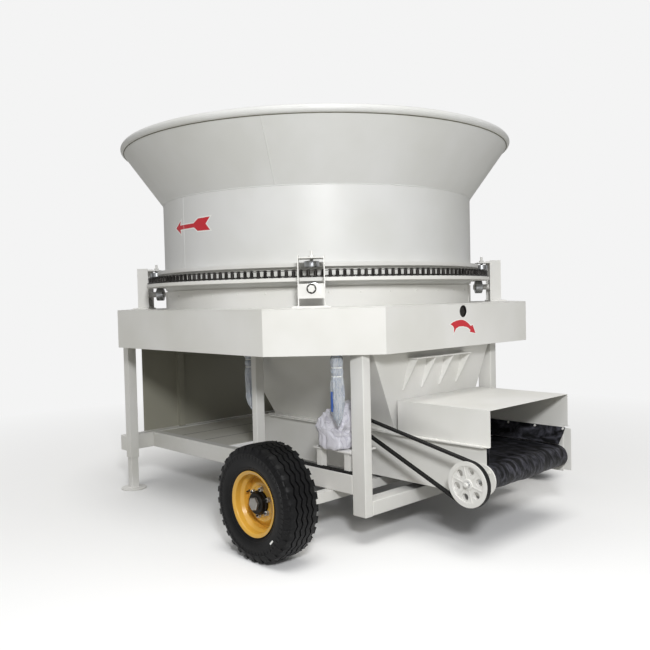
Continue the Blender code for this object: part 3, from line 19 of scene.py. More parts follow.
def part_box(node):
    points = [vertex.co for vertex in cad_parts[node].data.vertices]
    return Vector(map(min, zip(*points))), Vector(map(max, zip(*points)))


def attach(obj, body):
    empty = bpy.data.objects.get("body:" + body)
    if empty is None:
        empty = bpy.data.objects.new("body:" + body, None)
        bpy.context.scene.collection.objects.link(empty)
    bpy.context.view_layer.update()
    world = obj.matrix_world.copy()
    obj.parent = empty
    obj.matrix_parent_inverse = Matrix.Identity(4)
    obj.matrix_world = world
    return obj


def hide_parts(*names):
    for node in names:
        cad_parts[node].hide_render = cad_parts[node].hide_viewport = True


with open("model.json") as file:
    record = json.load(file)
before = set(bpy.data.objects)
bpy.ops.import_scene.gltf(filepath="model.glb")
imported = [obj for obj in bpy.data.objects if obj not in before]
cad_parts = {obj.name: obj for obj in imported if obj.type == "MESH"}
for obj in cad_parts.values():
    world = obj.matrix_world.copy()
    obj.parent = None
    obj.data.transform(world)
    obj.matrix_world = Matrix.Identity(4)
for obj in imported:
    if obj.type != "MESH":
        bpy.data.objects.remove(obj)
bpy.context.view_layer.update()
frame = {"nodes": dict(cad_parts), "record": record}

tub_low, tub_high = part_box("tub_wall")
TUB_X = (tub_low.x + tub_high.x) / 2          # the tub turns about X = TUB_X, Y = 0
TUB_MIDDLE = Vector((TUB_X, 0, 0))
print("tub axis at x = {:.4f} m".format(TUB_X))

# %% [markdown]
# ## Helpers for colours and nodes
#
# Colours are written as sRGB hex values, the way a paint chart gives them, and turned to linear
# light once. One function adds any node to any tree, with its settings and its links, so the
# materials and the geometry trees below read as lists of what they are made of. A node given as a
# source stands for its first live output. A socket is named by its identifier where two sockets
# of a node share a name.

# %% Colour and node helpers
def linear(hex_colour):
    """An sRGB hex colour as linear RGBA."""
    values = [int(hex_colour[index:index + 2], 16) / 255 for index in (1, 3, 5)]
    return (*[v / 12.92 if v <= 0.04045 else ((v + 0.055) / 1.055) ** 2.4 for v in values], 1.0)


def wire(tree, node, links):
    """Link each named socket of a node to a source, or set it to a value."""
    for key, source in links.items():
        target = next(s for s in node.inputs if s.identifier == key or s.name == key)
        if isinstance(source, bpy.types.Node):
            source = next(s for s in source.outputs if s.enabled)
        if isinstance(source, bpy.types.NodeSocket):
            tree.links.new(source, target)
        else:
            target.default_value = source


def add_node(tree, kind, links=None, **settings):
    """A node with its settings and its links."""
    node = tree.nodes.new(kind)
    for name, value in settings.items():
        setattr(node, name, value)
    wire(tree, node, links or {})
    return node


def material(name, roughness, metallic=0.0, ior=1.5):
    """A new material, its tree, its shader and its object coordinates."""
    made = bpy.data.materials.new(name)
    made.use_nodes = True
    tree = made.node_tree
    shader = tree.nodes["Principled BSDF"]
    wire(tree, shader, {"Roughness": roughness, "Metallic": metallic, "IOR": ior})
    return made, tree, shader, add_node(tree, "ShaderNodeTexCoord").outputs["Object"]


def two_tones(tree, source, first, last, tone, other):
    """One colour where a value is at first or before it, another from last on."""
    share = add_node(tree, "ShaderNodeMapRange", {"Value": source, "From Min": first, "From Max": last})
    return add_node(tree, "ShaderNodeMix", {"Factor_Float": share, "A_Color": linear(tone),
                                            "B_Color": linear(other)}, data_type="RGBA")


print("half grey in linear light: {:.3f}".format(linear("#808080")[0]))

# %% [markdown]
# ## Paint on sheet steel
#
# Machines like this are sprayed with one thick coat of alkyd enamel. It is a warm off-white with
# a soft gloss. Close up it has a fine orange-peel skin from the spray gun, some millimetres
# across. Thin spots shade the colour over half a metre, the sheet is pulled into slow waves by
# its welds, and dust greys the low parts. One plain colour would look like plastic, and a photo
# of paint would not follow the shape, so a dielectric shader gets two bumps and two colour noises.

# %% Enamel
DUST_TOP = 0.80           # dust settles below this height
DUST_SHARE = 0.14         # how much of it lies at the ground
PEEL_DEPTH = 0.00008
WAVE_DEPTH = 0.0028


def enamel(name, light, shade, roughness=0.42):
    """Sprayed enamel in two tones, with its skin, its waves and its dust."""
    made, tree, shader, place = material(name, roughness)
    drift = add_node(tree, "ShaderNodeTexNoise", {"Vector": place, "Scale": 1.8, "Detail": 3.0})
    coat = two_tones(tree, drift, 0.62, 0.34, light, shade)
    height = add_node(tree, "ShaderNodeSeparateXYZ", {"Vector": place}).outputs["Z"]
    low = add_node(tree, "ShaderNodeMapRange", {"Value": height, "From Min": DUST_TOP, "From Max": 0.0,
                                                "To Max": DUST_SHARE})
    grit = add_node(tree, "ShaderNodeTexNoise", {"Vector": place, "Scale": 22.0, "Detail": 5.0})
    grime = add_node(tree, "ShaderNodeMath", {"Value": low, "Value_001": grit}, operation="MULTIPLY")
    dusty = add_node(tree, "ShaderNodeMix", {"Factor_Float": grime, "A_Color": coat,
                                             "B_Color": linear("#8f897c")}, data_type="RGBA")
    # Orange peel: cells of about 6 mm, under a tenth of a millimetre deep.
    peel = add_node(tree, "ShaderNodeTexNoise", {"Vector": place, "Scale": 160.0, "Detail": 1.0})
    skin_bump = add_node(tree, "ShaderNodeBump", {"Height": peel, "Distance": PEEL_DEPTH})
    # Sheet pulled by its welds: waves of about 0.3 m, a millimetre or two deep.
    slow = add_node(tree, "ShaderNodeTexNoise", {"Vector": place, "Scale": 3.1, "Detail": 1.0})
    waves = add_node(tree, "ShaderNodeBump", {"Height": slow, "Distance": WAVE_DEPTH, "Normal": skin_bump})
    wire(tree, shader, {"Base Color": dusty, "Normal": waves})
    return made


ENAMEL = enamel("off_white_enamel", "#e3e2df", "#dbdad5")
TUB_ENAMEL = enamel("tub_enamel", "#dcdcdb", "#d5d5d2", roughness=0.44)
INNER_ENAMEL = enamel("thin_enamel_on_inner_sheets", "#d9d7cf", "#cbc9be", roughness=0.5)
# Dark olive that stands for shade: painted shade on the sheets deep under the deck, and a painted shadow line under
# the rim pipe.
PAINTED_SHADE = enamel("olive_painted_shade", "#6c6a5c", "#5a584a", roughness=0.6)
print("enamels:", ENAMEL.name, TUB_ENAMEL.name, INNER_ENAMEL.name, PAINTED_SHADE.name)

# %% [markdown]
# ## Bare and dark metals
#
# The chain and the rotor are rolled steel with a film of oil, nearly black, glossier on the
# parts that rub. Rollers and nuts are zinc plated: a pale bluish metal with a fine matt grain.
# The wheel hub is a sand casting, dipped in black primer. A metal takes its look from roughness
# far more than from colour, so each one gets a noise there.

# %% Metals
def metal(name, colour, smooth, rough, grain, depth):
    """A metal whose roughness wanders between two values, with a grain of that size in metres."""
    made, tree, shader, place = material(name, rough, metallic=1.0)
    wander = add_node(tree, "ShaderNodeTexNoise", {"Vector": place, "Scale": 14.0, "Detail": 4.0})
    spread = add_node(tree, "ShaderNodeMapRange", {"Value": wander, "From Min": 0.3, "From Max": 0.7,
                                                   "To Min": smooth, "To Max": rough})
    sand = add_node(tree, "ShaderNodeTexNoise", {"Vector": place, "Scale": 1.0 / grain, "Detail": 2.0})
    grainy = add_node(tree, "ShaderNodeBump", {"Height": sand, "Distance": depth})
    wire(tree, shader, {"Base Color": linear(colour), "Roughness": spread, "Normal": grainy})
    return made


OILED_STEEL = metal("oiled_chain_steel", "#3a3836", 0.22, 0.48, 0.004, 0.00006)
ZINC = metal("zinc_plated_steel", "#b4b6b8", 0.24, 0.42, 0.002, 0.00003)
CAST_IRON = metal("black_primed_cast_iron", "#2a2826", 0.38, 0.62, 0.003, 0.00025)
CAP_STEEL = metal("greased_cap_steel", "#96938e", 0.34, 0.60, 0.004, 0.0003)
print("metals:", OILED_STEEL.name, ZINC.name, CAST_IRON.name, CAP_STEEL.name)

# %% [markdown]
# ## Rubber
#
# The tyres are moulded black rubber with a dull shine on the side walls. The conveyor belt is a
# rough fabric-backed rubber with lighter grey strokes along its travel: partly scuffs, partly its
# sheen, painted in. The V-belts are smooth cloth-covered rubber.

# %% Rubbers
RUBBER_SPECULAR = 0.20


def rubber(name, dark, worn_and_sheen, stroke, roughness, depth):
    """Black rubber with lighter strokes of wear and painted sheen; stroke stretches them along the three axes."""
    made, tree, shader, place = material(name, roughness, ior=1.52)
    turned = add_node(tree, "ShaderNodeMapping", {"Vector": place, "Scale": stroke})
    scuffs_and_sheen = add_node(tree, "ShaderNodeTexNoise", {"Vector": turned, "Scale": 1.0, "Detail": 6.0,
                                                   "Roughness": 0.65, "Distortion": 0.9})
    # The lighter strokes are wear, and on the belt also painted sheen.
    shade = two_tones(tree, scuffs_and_sheen, 0.46, 0.76, dark, worn_and_sheen)
    rough_skin = add_node(tree, "ShaderNodeBump", {"Height": scuffs_and_sheen, "Distance": depth})
    wire(tree, shader, {"Base Color": shade, "Normal": rough_skin, "Specular IOR Level": RUBBER_SPECULAR})
    return made


TYRE_RUBBER = rubber("moulded_tyre_rubber", "#040405", "#131315", (40, 40, 40), 0.50, 0.0003)
BELT_RUBBER = rubber("conveyor_belt_scuffs_and_sheen", "#0c0c0e", "#5a5a63", (9, 22, 9), 0.52, 0.0040)
V_BELT_RUBBER = rubber("cloth_covered_v_belt", "#161617", "#3a3836", (120, 200, 120), 0.6, 0.0002)
print("rubbers:", TYRE_RUBBER.name, BELT_RUBBER.name, V_BELT_RUBBER.name)

# %% [markdown]
# ## Wheel paint, signs and film
#
# The wheels are sprayed in a warm yellow gloss enamel. The two red arrows are cut vinyl, glossy
# and flat. The motor and two loose bundles travel in polyethylene: milky and soft on the motor,
# clear and crackling round the bundles. Film is a dielectric. The milky one hides what it
# wraps, the clear one lets the hoses show, and a crease bump breaks up the shine of both.

# %% Wheel paint and vinyl
def plain_gloss(name, colour, roughness, coat=0.0):
    """An even glossy colour with a faint skin."""
    made, tree, shader, place = material(name, roughness)
    peel = add_node(tree, "ShaderNodeTexNoise", {"Vector": place, "Scale": 140.0, "Detail": 1.0})
    faint = add_node(tree, "ShaderNodeBump", {"Height": peel, "Distance": 0.00007})
    wire(tree, shader, {"Base Color": linear(colour), "Coat Weight": coat, "Normal": faint})
    return made


WHEEL_ENAMEL = plain_gloss("yellow_wheel_enamel", "#d2a240", 0.30, coat=0.2)
RED_VINYL = plain_gloss("red_vinyl", "#c92230", 0.42)
WHITE_VINYL = plain_gloss("white_vinyl", "#efefec", 0.4)
BLUE_TAPE = plain_gloss("blue_parcel_tape", "#2b5cb4", 0.45)
DARK_HOSE = plain_gloss("dark_spare_hose", "#2c333b", 0.45)
DARK_HOLLOW = plain_gloss("shadowed_hollow", "#3d3c38", 0.8)
print("gloss paints:", ", ".join(look.name for look in (WHEEL_ENAMEL, RED_VINYL, WHITE_VINYL, BLUE_TAPE,
                                                       DARK_HOSE, DARK_HOLLOW)))

# %% Film
def film(name, colour, folded, roughness, clear, crease, upright, depth):
    """Crumpled film, darker along its folds as painted shade; crease is a fold's size in metres, upright below 1 draws
    folds out.
    """
    made, tree, shader, place = material(name, roughness)
    drawn = add_node(tree, "ShaderNodeMapping", {"Vector": place, "Scale": (1.0, 1.0, upright)})
    creases = add_node(tree, "ShaderNodeTexNoise", {"Vector": drawn, "Scale": 1.0 / crease, "Detail": 3.0,
                                                    "Distortion": 1.2})
    fold = add_node(tree, "ShaderNodeMath", {"Value": creases, "Value_001": 0.5}, operation="SUBTRACT")
    ridge = add_node(tree, "ShaderNodeMath", {"Value": fold}, operation="ABSOLUTE")
    # Along the folds the film is painted darker: painted shade in the creases.
    shade = two_tones(tree, ridge, 0.0, 0.035, folded, colour)
    creased = add_node(tree, "ShaderNodeBump", {"Height": ridge, "Distance": depth})
    wire(tree, shader, {"Transmission Weight": clear, "Base Color": shade, "Normal": creased})
    return made


MILKY_FILM = film("milky_polyethylene", "#e0dfe8", "#c4c2cf", 0.26, 0.0, 0.12, 0.8, 0.020)
CLEAR_FILM = film("clear_polyethylene", "#f3f6fb", "#a9bdd4", 0.12, 0.60, 0.014, 0.12, 0.008)
print("films:", MILKY_FILM.name, CLEAR_FILM.name)

# %% [markdown]
# ## From a mesh to a piece that rides with the machine
#
# Every finished mesh becomes an object at the origin, takes a material, and rides on the body of
# the solid that it stands for. Round things get smooth shading, split at their real edges. Most
# meshes are rings of points joined by faces, so one function lays that skin.

# %% Make and place pieces
BODY_OF = {node: body for body, nodes in frame["record"]["behaviour"]["bodies"].items() for node in nodes}
SLOT_OF = {part["node"]: part["material_slot"] for part in frame["record"]["subparts"]}


def like(node):
    """The body and slot of a solid, for a piece that goes with it."""
    return {"body": BODY_OF[node], "slot": SLOT_OF[node]}


def in_place_of(node):
    """The same, for a piece that stands for the solid."""
    return {**like(node), "stands_for": (node,)}


def shown(name, data):
    """An object in the scene."""
    obj = bpy.data.objects.new(name, data)
    bpy.context.scene.collection.objects.link(obj)
    return obj


def piece(name, mesh, look, body="frame", slot="painted_sheet", stands_for=()):
    """A finished piece: its mesh is already in its place."""
    obj = shown(name, mesh)
    if not mesh.materials:
        mesh.materials.append(look)
    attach(obj, body)
    if stands_for:
        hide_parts(*stands_for)
    return obj


def smooth(mesh, angle):
    """Smooth shading but for edges sharper than the angle."""
    mesh.shade_smooth()
    mesh.set_sharp_from_angle(angle=math.radians(angle))
    return mesh


def mesh_from(bm, name, smooth_angle=30):
    """A smooth mesh from a bmesh."""
    mesh = bpy.data.meshes.new(name)
    bm.to_mesh(mesh)
    bm.free()
    return smooth(mesh, smooth_angle)


def outwards_mesh(bm, name, smooth_angle=30):
    """The same, with every face turned outwards first."""
    bmesh.ops.recalc_face_normals(bm, faces=bm.faces)
    return mesh_from(bm, name, smooth_angle)


def evaluated(obj, name, smooth_angle=30):
    """The object's mesh with its modifiers carried out; the object goes. 0 keeps its own shading."""
    bpy.context.view_layer.update()
    ready = obj.evaluated_get(bpy.context.evaluated_depsgraph_get())
    mesh = bpy.data.meshes.new_from_object(ready)
    bpy.data.objects.remove(obj, do_unlink=True)
    mesh.name = name
    return smooth(mesh, smooth_angle) if smooth_angle else mesh


def thickened(bm, name, thickness, offset, smooth_angle):
    """A thin sheet given a thickness."""
    work = shown(name + "_work", mesh_from(bm, name + "_work", 60))
    sheet = work.modifiers.new("Thickness", "SOLIDIFY")
    sheet.thickness = thickness
    sheet.offset = offset
    return evaluated(work, name, smooth_angle)


def skin(bm, rings, closed=True, ends=True):
    """Faces from each ring of points to the next; closed rings join up, ends closes both."""
    for low, high in zip(rings, rings[1:]):
        for k in range(len(low) if closed else len(low) - 1):
            after = (k + 1) % len(low)
            bm.faces.new((low[k], low[after], high[after], high[k]))
    if ends:
        bm.faces.new(list(reversed(rings[0])))
        bm.faces.new(rings[-1])


print("solids: {}, bodies: {}".format(len(BODY_OF), len(set(BODY_OF.values()))))

# %% [markdown]
# ## Rounded edges
#
# No folded sheet or rolled tube has a knife edge. The bend of a 6 mm sheet has an outer radius
# near its thickness, and the bright line along it is what makes a box look like steel. The
# solids have sharp edges, so each one is copied, its loose triangles are merged, flat faces are
# joined again, and a Bevel modifier rounds every edge. Doing it by modifier on a copy keeps the
# size: a bevel only takes material away. Hardened normals keep the wide faces flat to the light.

# %% Round the edges of the straight pieces
SHARP = 35


def rounded(node, width, look, segments=2):
    """A copy of a solid with rounded edges, which stands for it."""
    bm = bmesh.new()
    bm.from_mesh(frame["nodes"][node].data)
    bmesh.ops.remove_doubles(bm, verts=bm.verts, dist=0.00002)
    bmesh.ops.dissolve_limit(bm, angle_limit=math.radians(1), verts=bm.verts, edges=bm.edges)
    work = shown(node + "_work", mesh_from(bm, node + "_copy", SHARP))
    bevel = work.modifiers.new("Edges", "BEVEL")
    bevel.width = width
    bevel.segments = segments
    bevel.limit_method = "ANGLE"
    bevel.angle_limit = math.radians(SHARP)
    bevel.use_clamp_overlap = True
    bevel.harden_normals = True
    finished = evaluated(work, node + "_look", smooth_angle=0)
    finished.materials.clear()
    return piece(node + "_finished", finished, look, **in_place_of(node))


THIN_EDGE = 0.0012
TUBE_CORNER = 0.006
EDGES = {"deck_panels": 0.005, "deck_plate": 0.0022, "rail_left": TUBE_CORNER, "rail_right": TUBE_CORNER,
         "leg_middle_left": TUBE_CORNER, "leg_middle_right": TUBE_CORNER, "leg_rear_left": 0.002,
         "leg_rear_right": 0.002, "leg_front_left": TUBE_CORNER, "leg_front_right": TUBE_CORNER,
         "end_beam_front": TUBE_CORNER, "end_beam_rear": TUBE_CORNER, "axle": 0.004, "jack_left": 0.003,
         "jack_right": 0.003, "hopper": 0.0015, "conveyor_frame": 0.0015, "discharge_hood": THIN_EDGE,
         "motor_base": 0.003, "bracket_front_right": 0.0015, "bracket_front_left": 0.0015,
         "bracket_rear_left": 0.0015, "bracket_rear_right": 0.0015}
for node, width in EDGES.items():
    rounded(node, width, ENAMEL)
print("pieces with rounded edges:", len(EDGES))

# %% [markdown]
# ## Sheets that face into the machine
#
# Under the deck the sheets are thin, and they lie in deep shade, which is painted on. The under
# plate and the mill housing are dark olive: painted shade. The back sheet is enamelled outside, like
# the rest, and has painted shade inside: one material, whose two tones change where the sheet's
# thickness begins, so the edges stay light. The bay floor and the tub's floor take a thin enamel.

# %% Back sheet in two tones
# Inward of this X the back sheet is painted darker: painted shade for the dark bay.
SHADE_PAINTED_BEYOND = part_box("rear_wall")[0].x + 0.003
BACK_SHEET = enamel("back_sheet_enamel_and_painted_shade", "#e3e2df", "#dbdad5")
back_tree = BACK_SHEET.node_tree
back_shader = back_tree.nodes["Principled BSDF"]
back_place = add_node(back_tree, "ShaderNodeTexCoord").outputs["Object"]
across = add_node(back_tree, "ShaderNodeSeparateXYZ", {"Vector": back_place}).outputs["X"]
inside = add_node(back_tree, "ShaderNodeMath", {"Value": across, "Value_001": SHADE_PAINTED_BEYOND},
                  operation="GREATER_THAN")
two_tone = add_node(back_tree, "ShaderNodeMix", {
    "Factor_Float": inside, "A_Color": back_shader.inputs["Base Color"].links[0].from_socket,
    "B_Color": linear("#979588")}, data_type="RGBA")
wire(back_tree, back_shader, {"Base Color": two_tone})
print("painted shade inside of x", round(SHADE_PAINTED_BEYOND, 3))

# %% Inner sheets
# Under plate and mill housing take the painted shade, and so does the back sheet's inside.
INNER_SHEETS = {"under_plate": PAINTED_SHADE, "mill_housing": PAINTED_SHADE, "bay_floor": INNER_ENAMEL,
                "tub_floor": INNER_ENAMEL, "rear_wall": BACK_SHEET}
for node, look in INNER_SHEETS.items():
    rounded(node, THIN_EDGE, look)
print("inner sheets:", ", ".join(INNER_SHEETS))

# %% [markdown]
# ## The tub: rings with a four-cornered section
#
# Tub wall, flare, skirt, track and collar are all rolled from flat sheet or bar, so each is one
# section carried round a circle. That rule is written once, as a geometry tree: a circle, a
# section given by its inner and outer radius at two heights, and Curve to Mesh. A Screw modifier
# would do too, but the tree takes its sizes as named inputs and serves every ring.

# %% Trees with named inputs
FLOAT, VECTOR, INTEGER = "NodeSocketFloat", "NodeSocketVector", "NodeSocketInt"
OBJECT, LOOK = "NodeSocketObject", "NodeSocketMaterial"


def geometry_tree(name, inputs):
    """A tree with named inputs, each (socket type, value), and a look."""
    tree = bpy.data.node_groups.new(name, "GeometryNodeTree")
    for label, (kind, value) in {**inputs, "Look": (LOOK, None)}.items():
        socket = tree.interface.new_socket(label, in_out="INPUT", socket_type=kind)
        if value is not None:
            socket.default_value = value
    tree.interface.new_socket("Geometry", in_out="OUTPUT", socket_type="NodeSocketGeometry")
    return tree, add_node(tree, "NodeGroupInput").outputs


def close_tree(tree, geometry, look, move):
    """The end of every tree: real geometry, set down in its place and painted."""
    real = add_node(tree, "GeometryNodeRealizeInstances", {"Geometry": geometry})
    set_down = add_node(tree, "GeometryNodeTransform", {"Geometry": real, **move})
    painted = add_node(tree, "GeometryNodeSetMaterial", {"Geometry": set_down, "Material": look})
    add_node(tree, "NodeGroupOutput", {"Geometry": painted})


def run_tree(tree, name, values, smooth_angle=30):
    """The mesh that a tree makes with these values for its named inputs."""
    work = shown(name + "_work", bpy.data.meshes.new(name + "_seed"))
    modifier = work.modifiers.new("Make", "NODES")
    modifier.node_group = tree
    sockets = {item.name: item.identifier for item in tree.interface.items_tree if item.in_out == "INPUT"}
    for label, value in values.items():
        modifier[sockets[label]] = value
    return evaluated(work, name, smooth_angle)


print("socket kinds of the trees:", FLOAT, VECTOR, INTEGER, OBJECT, LOOK)

# %% A tree that sweeps a section round a circle
RING, ring_in = geometry_tree("ring_of_a_section", {
    "Low inner": (FLOAT, 1.0), "Low outer": (FLOAT, 1.1), "High inner": (FLOAT, 1.0),
    "High outer": (FLOAT, 1.1), "Low": (FLOAT, 0.0), "High": (FLOAT, 0.1), "Facets": (INTEGER, 192)})
# The circle has a radius of 1, so the section's own X starts from there. Its Y runs downwards.
circle = add_node(RING, "GeometryNodeCurvePrimitiveCircle", {"Resolution": ring_in["Facets"], "Radius": 1.0})
corners = {}
for number, (height, edge) in enumerate((("Low", "inner"), ("High", "inner"), ("High", "outer"), ("Low", "outer"))):
    out = add_node(RING, "ShaderNodeMath", {"Value": ring_in[height + " " + edge], "Value_001": 1.0},
                   operation="SUBTRACT")
    down = add_node(RING, "ShaderNodeMath", {"Value": ring_in[height], "Value_001": -1.0}, operation="MULTIPLY")
    corners["Point {}".format(number + 1)] = add_node(RING, "ShaderNodeCombineXYZ", {"X": out, "Y": down})
section = add_node(RING, "GeometryNodeCurvePrimitiveQuadrilateral", corners, mode="POINTS")
swept = add_node(RING, "GeometryNodeCurveToMesh", {"Curve": circle, "Profile Curve": section})
close_tree(RING, swept, ring_in["Look"], {"Translation": TUB_MIDDLE})


def ring(name, low, low_z, high_z, look=ENAMEL, high=None, body="tub", stands_for=()):
    """A ring; low and high are its (inner, outer) radii at the two heights, the same if high is left out."""
    high = high or low
    mesh = run_tree(RING, name, {"Low inner": low[0], "Low outer": low[1], "High inner": high[0],
                                 "High outer": high[1], "Low": low_z, "High": high_z, "Look": look})
    return piece(name, mesh, look, body, stands_for=stands_for)


print("tree:", RING.name)

# %% [markdown]
# Every size of the rings is read from the solids' boxes, so a ring can't stray from the solid
# that it stands for. A sloped lip inside the tub's lower edge closes the running gap over the
# skirt, so that nobody looks through it at the hammers.

# %% Tub wall, flare, skirt and the track on the tub
def radii(node):
    """A solid's outer radius and its two heights."""
    low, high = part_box(node)
    return (high.x - low.x) / 2, low.z, high.z


WALL = 0.008
THIN_WALL = 0.006         # flare and skirt
TRACK_THICKNESS = 0.025
COLLAR_THICKNESS = 0.028
COLLAR_OUT = 0.063
WEB_THICKNESS = 0.010
wall_r, wall_low, wall_high = radii("tub_wall")
flare_r, flare_low, flare_high = radii("tub_flare")
track_r, track_low, collar_high = radii("tub_ring")
skirt_r, skirt_low, skirt_high = radii("tub_skirt")
track_high = track_low + TRACK_THICKNESS
collar_low = collar_high - COLLAR_THICKNESS
ring("tub_shell", (wall_r - WALL, wall_r), wall_low, wall_high, TUB_ENAMEL, stands_for=("tub_wall",))
ring("flared_mouth", (wall_r - THIN_WALL, wall_r), flare_low, flare_high, TUB_ENAMEL,
     high=(flare_r - THIN_WALL, flare_r), stands_for=("tub_flare",))
ring("track_flange", (wall_r, track_r), track_low, track_high, stands_for=("tub_ring",))
ring("guide_collar", (wall_r, wall_r + COLLAR_OUT), collar_low, collar_high)
ring("web_from_track_to_collar", (wall_r, wall_r + WEB_THICKNESS), track_high - 0.001, collar_low + 0.001)
ring("seal_lip", (wall_r - 0.023, wall_r - 0.017), skirt_high - 0.008, wall_low + 0.015,
     high=(wall_r - 0.015, wall_r - 0.0075))
ring("skirt_band", (skirt_r - THIN_WALL, skirt_r), skirt_low, skirt_high, body="frame", stands_for=("tub_skirt",))
print("tub height {:.3f} m, flare {:.3f} m".format(wall_high - wall_low, flare_high - flare_low))

# %% [markdown]
# ## The rolled rim
#
# The mouth ends in a pipe, bent in several lengths and butt welded. At each joint stands a low
# bead. The pipe is a torus with 20 facets round the tube; the long beads come from the same tree,
# with lumps from noise, as a hand weld has.

# %% Rim pipe
rim_low, rim_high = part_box("tub_rim")
PIPE_RADIUS = (rim_high.z - rim_low.z) / 2
RIM_Z = (rim_high.z + rim_low.z) / 2
RIM_RADIUS = (rim_high.x - rim_low.x) / 2 - PIPE_RADIUS
PIPE, pipe_in = geometry_tree("bent_pipe", {
    "Bend radius": (FLOAT, 1.0), "Pipe radius": (FLOAT, 0.03), "Lumps": (FLOAT, 0.0),
    "Height": (FLOAT, 0.0), "Facets": (INTEGER, 192)})
path = add_node(PIPE, "GeometryNodeCurvePrimitiveCircle", {"Resolution": pipe_in["Facets"],
                                                           "Radius": pipe_in["Bend radius"]})
round_section = add_node(PIPE, "GeometryNodeCurvePrimitiveCircle", {"Resolution": 20,
                                                                    "Radius": pipe_in["Pipe radius"]})
tube = add_node(PIPE, "GeometryNodeCurveToMesh", {"Curve": path, "Profile Curve": round_section})
here = add_node(PIPE, "GeometryNodeInputPosition")
ripple = add_node(PIPE, "ShaderNodeTexNoise", {"Vector": here, "W": 0.0, "Scale": 90.0, "Detail": 1.0},
                  noise_dimensions="4D")
swell = add_node(PIPE, "ShaderNodeMath", {"Value": ripple, "Value_001": pipe_in["Lumps"]}, operation="MULTIPLY")
facing = add_node(PIPE, "GeometryNodeInputNormal")
push = add_node(PIPE, "ShaderNodeVectorMath", {"Vector": facing, "Scale": swell}, operation="SCALE")
lumpy = add_node(PIPE, "GeometryNodeSetPosition", {"Geometry": tube, "Offset": push})
lift = add_node(PIPE, "ShaderNodeCombineXYZ", {"X": TUB_X, "Z": pipe_in["Height"]})
close_tree(PIPE, lumpy, pipe_in["Look"], {"Translation": lift})
pipe_mesh = run_tree(PIPE, "rim_pipe", {"Bend radius": RIM_RADIUS, "Pipe radius": PIPE_RADIUS,
                                        "Height": RIM_Z, "Look": TUB_ENAMEL})
piece("rim_pipe", pipe_mesh, TUB_ENAMEL, "tub", SLOT_OF["tub_rim"], ("tub_rim",))
print("rim radius {:.3f} m, pipe radius {:.4f} m".format(RIM_RADIUS, PIPE_RADIUS))

# %% [markdown]
# Weld beads run where rings meet: pipe on flare, flare on wall, wall on track, collar on wall, and
# skirt on deck. A bead is 6 to 8 mm wide and slightly lumpy. The one under the rim is dark olive:
# a painted shadow line, for the shade under the pipe. The tub's sheets are joined by upright seams,
# ground nearly flat: three on the flare and two on the wall.

# %% Weld beads round the tub
BEAD = 0.0035
BEAD_LUMPS = 0.0012
for name, radius, height, look, body in (
        # The bead under the rim carries painted shade: a dark line for the pipe's shadow.
        ("bead_below_rim", RIM_RADIUS + 0.004, RIM_Z - PIPE_RADIUS + 0.0005, PAINTED_SHADE, "tub"),
        ("bead_wall_to_flare", wall_r, wall_high, TUB_ENAMEL, "tub"),
        ("bead_track_to_wall", wall_r + 0.011, track_high, TUB_ENAMEL, "tub"),
        ("bead_collar_to_wall", wall_r, collar_high, TUB_ENAMEL, "tub"),
        ("bead_skirt_to_deck", skirt_r, skirt_low + 0.0015, ENAMEL, "frame")):
    bead = run_tree(PIPE, name, {"Bend radius": radius, "Pipe radius": BEAD, "Height": height,
                                 "Lumps": BEAD_LUMPS, "Facets": 480, "Look": look})
    piece(name, bead, look, body)


def tub_point(degrees, radius, height):
    """A place round the tub's axis."""
    turn = math.radians(degrees)
    return Vector((TUB_X + radius * math.cos(turn), radius * math.sin(turn), height))


def weld(name, points, radius, look, body, seed=0.0):
    """A hand-laid bead along a line of points, with a lump for each stitch."""
    bm = bmesh.new()
    sides, stitch, lump, taper = 8, radius * 1.4, 0.25, 0.35
    total = sum((b - a).length for a, b in zip(points, points[1:]))
    steps = max(6, int(total / stitch))
    path = []
    for step in range(steps + 1):
        wanted = total * step / steps
        for a, b in zip(points, points[1:]):
            length = (b - a).length
            if wanted <= length + 1e-9:
                path.append(a.lerp(b, min(1.0, wanted / length)))
                break
            wanted -= length
    rings = []
    for index, place in enumerate(path):
        ahead = (path[min(index + 1, steps)] - path[max(index - 1, 0)]).normalized()
        side = ahead.orthogonal().normalized()
        over = ahead.cross(side)
        grow = 1.0 + lump * noise.noise(Vector((index * 0.9, seed, 3.1)))
        grow *= min(1.0, taper + taper * min(index, steps - index))
        rings.append([bm.verts.new(place + (side * math.cos(math.tau * k / sides)
                                            + over * math.sin(math.tau * k / sides)) * radius * grow)
                      for k in range(sides)])
    skin(bm, rings)
    return piece(name, outwards_mesh(bm, name), look, body)


FLARE_SEAMS = (-56.0, 64.0, 184.0)       # degrees round the tub
WALL_SEAMS = (-94.0, 86.0)
RIM_JOINTS = (-96.0, -91.0, -72.0, 30.0, 150.0)
for number, degrees in enumerate(FLARE_SEAMS):
    weld("flare_seam_{}".format(number), [tub_point(degrees, wall_r, wall_high),
                                          tub_point(degrees, flare_r, flare_high)],
         0.004, TUB_ENAMEL, "tub", seed=number)
for number, degrees in enumerate(WALL_SEAMS):
    weld("wall_seam_{}".format(number), [tub_point(degrees, wall_r, collar_high),
                                         tub_point(degrees, wall_r, wall_high)],
         0.0014, TUB_ENAMEL, "tub", seed=7 + number)
for number, degrees in enumerate(RIM_JOINTS):
    turn = math.radians(degrees)
    middle = tub_point(degrees, RIM_RADIUS, RIM_Z)
    out = Vector((math.cos(turn), math.sin(turn), 0))
    loop = [middle + (out * math.cos(math.tau * k / 24) + Vector((0, 0, math.sin(math.tau * k / 24))))
            * (PIPE_RADIUS - 0.002) for k in range(25)]
    weld("rim_joint_{}".format(number), loop, 0.0028, TUB_ENAMEL, "tub", seed=20 + number)
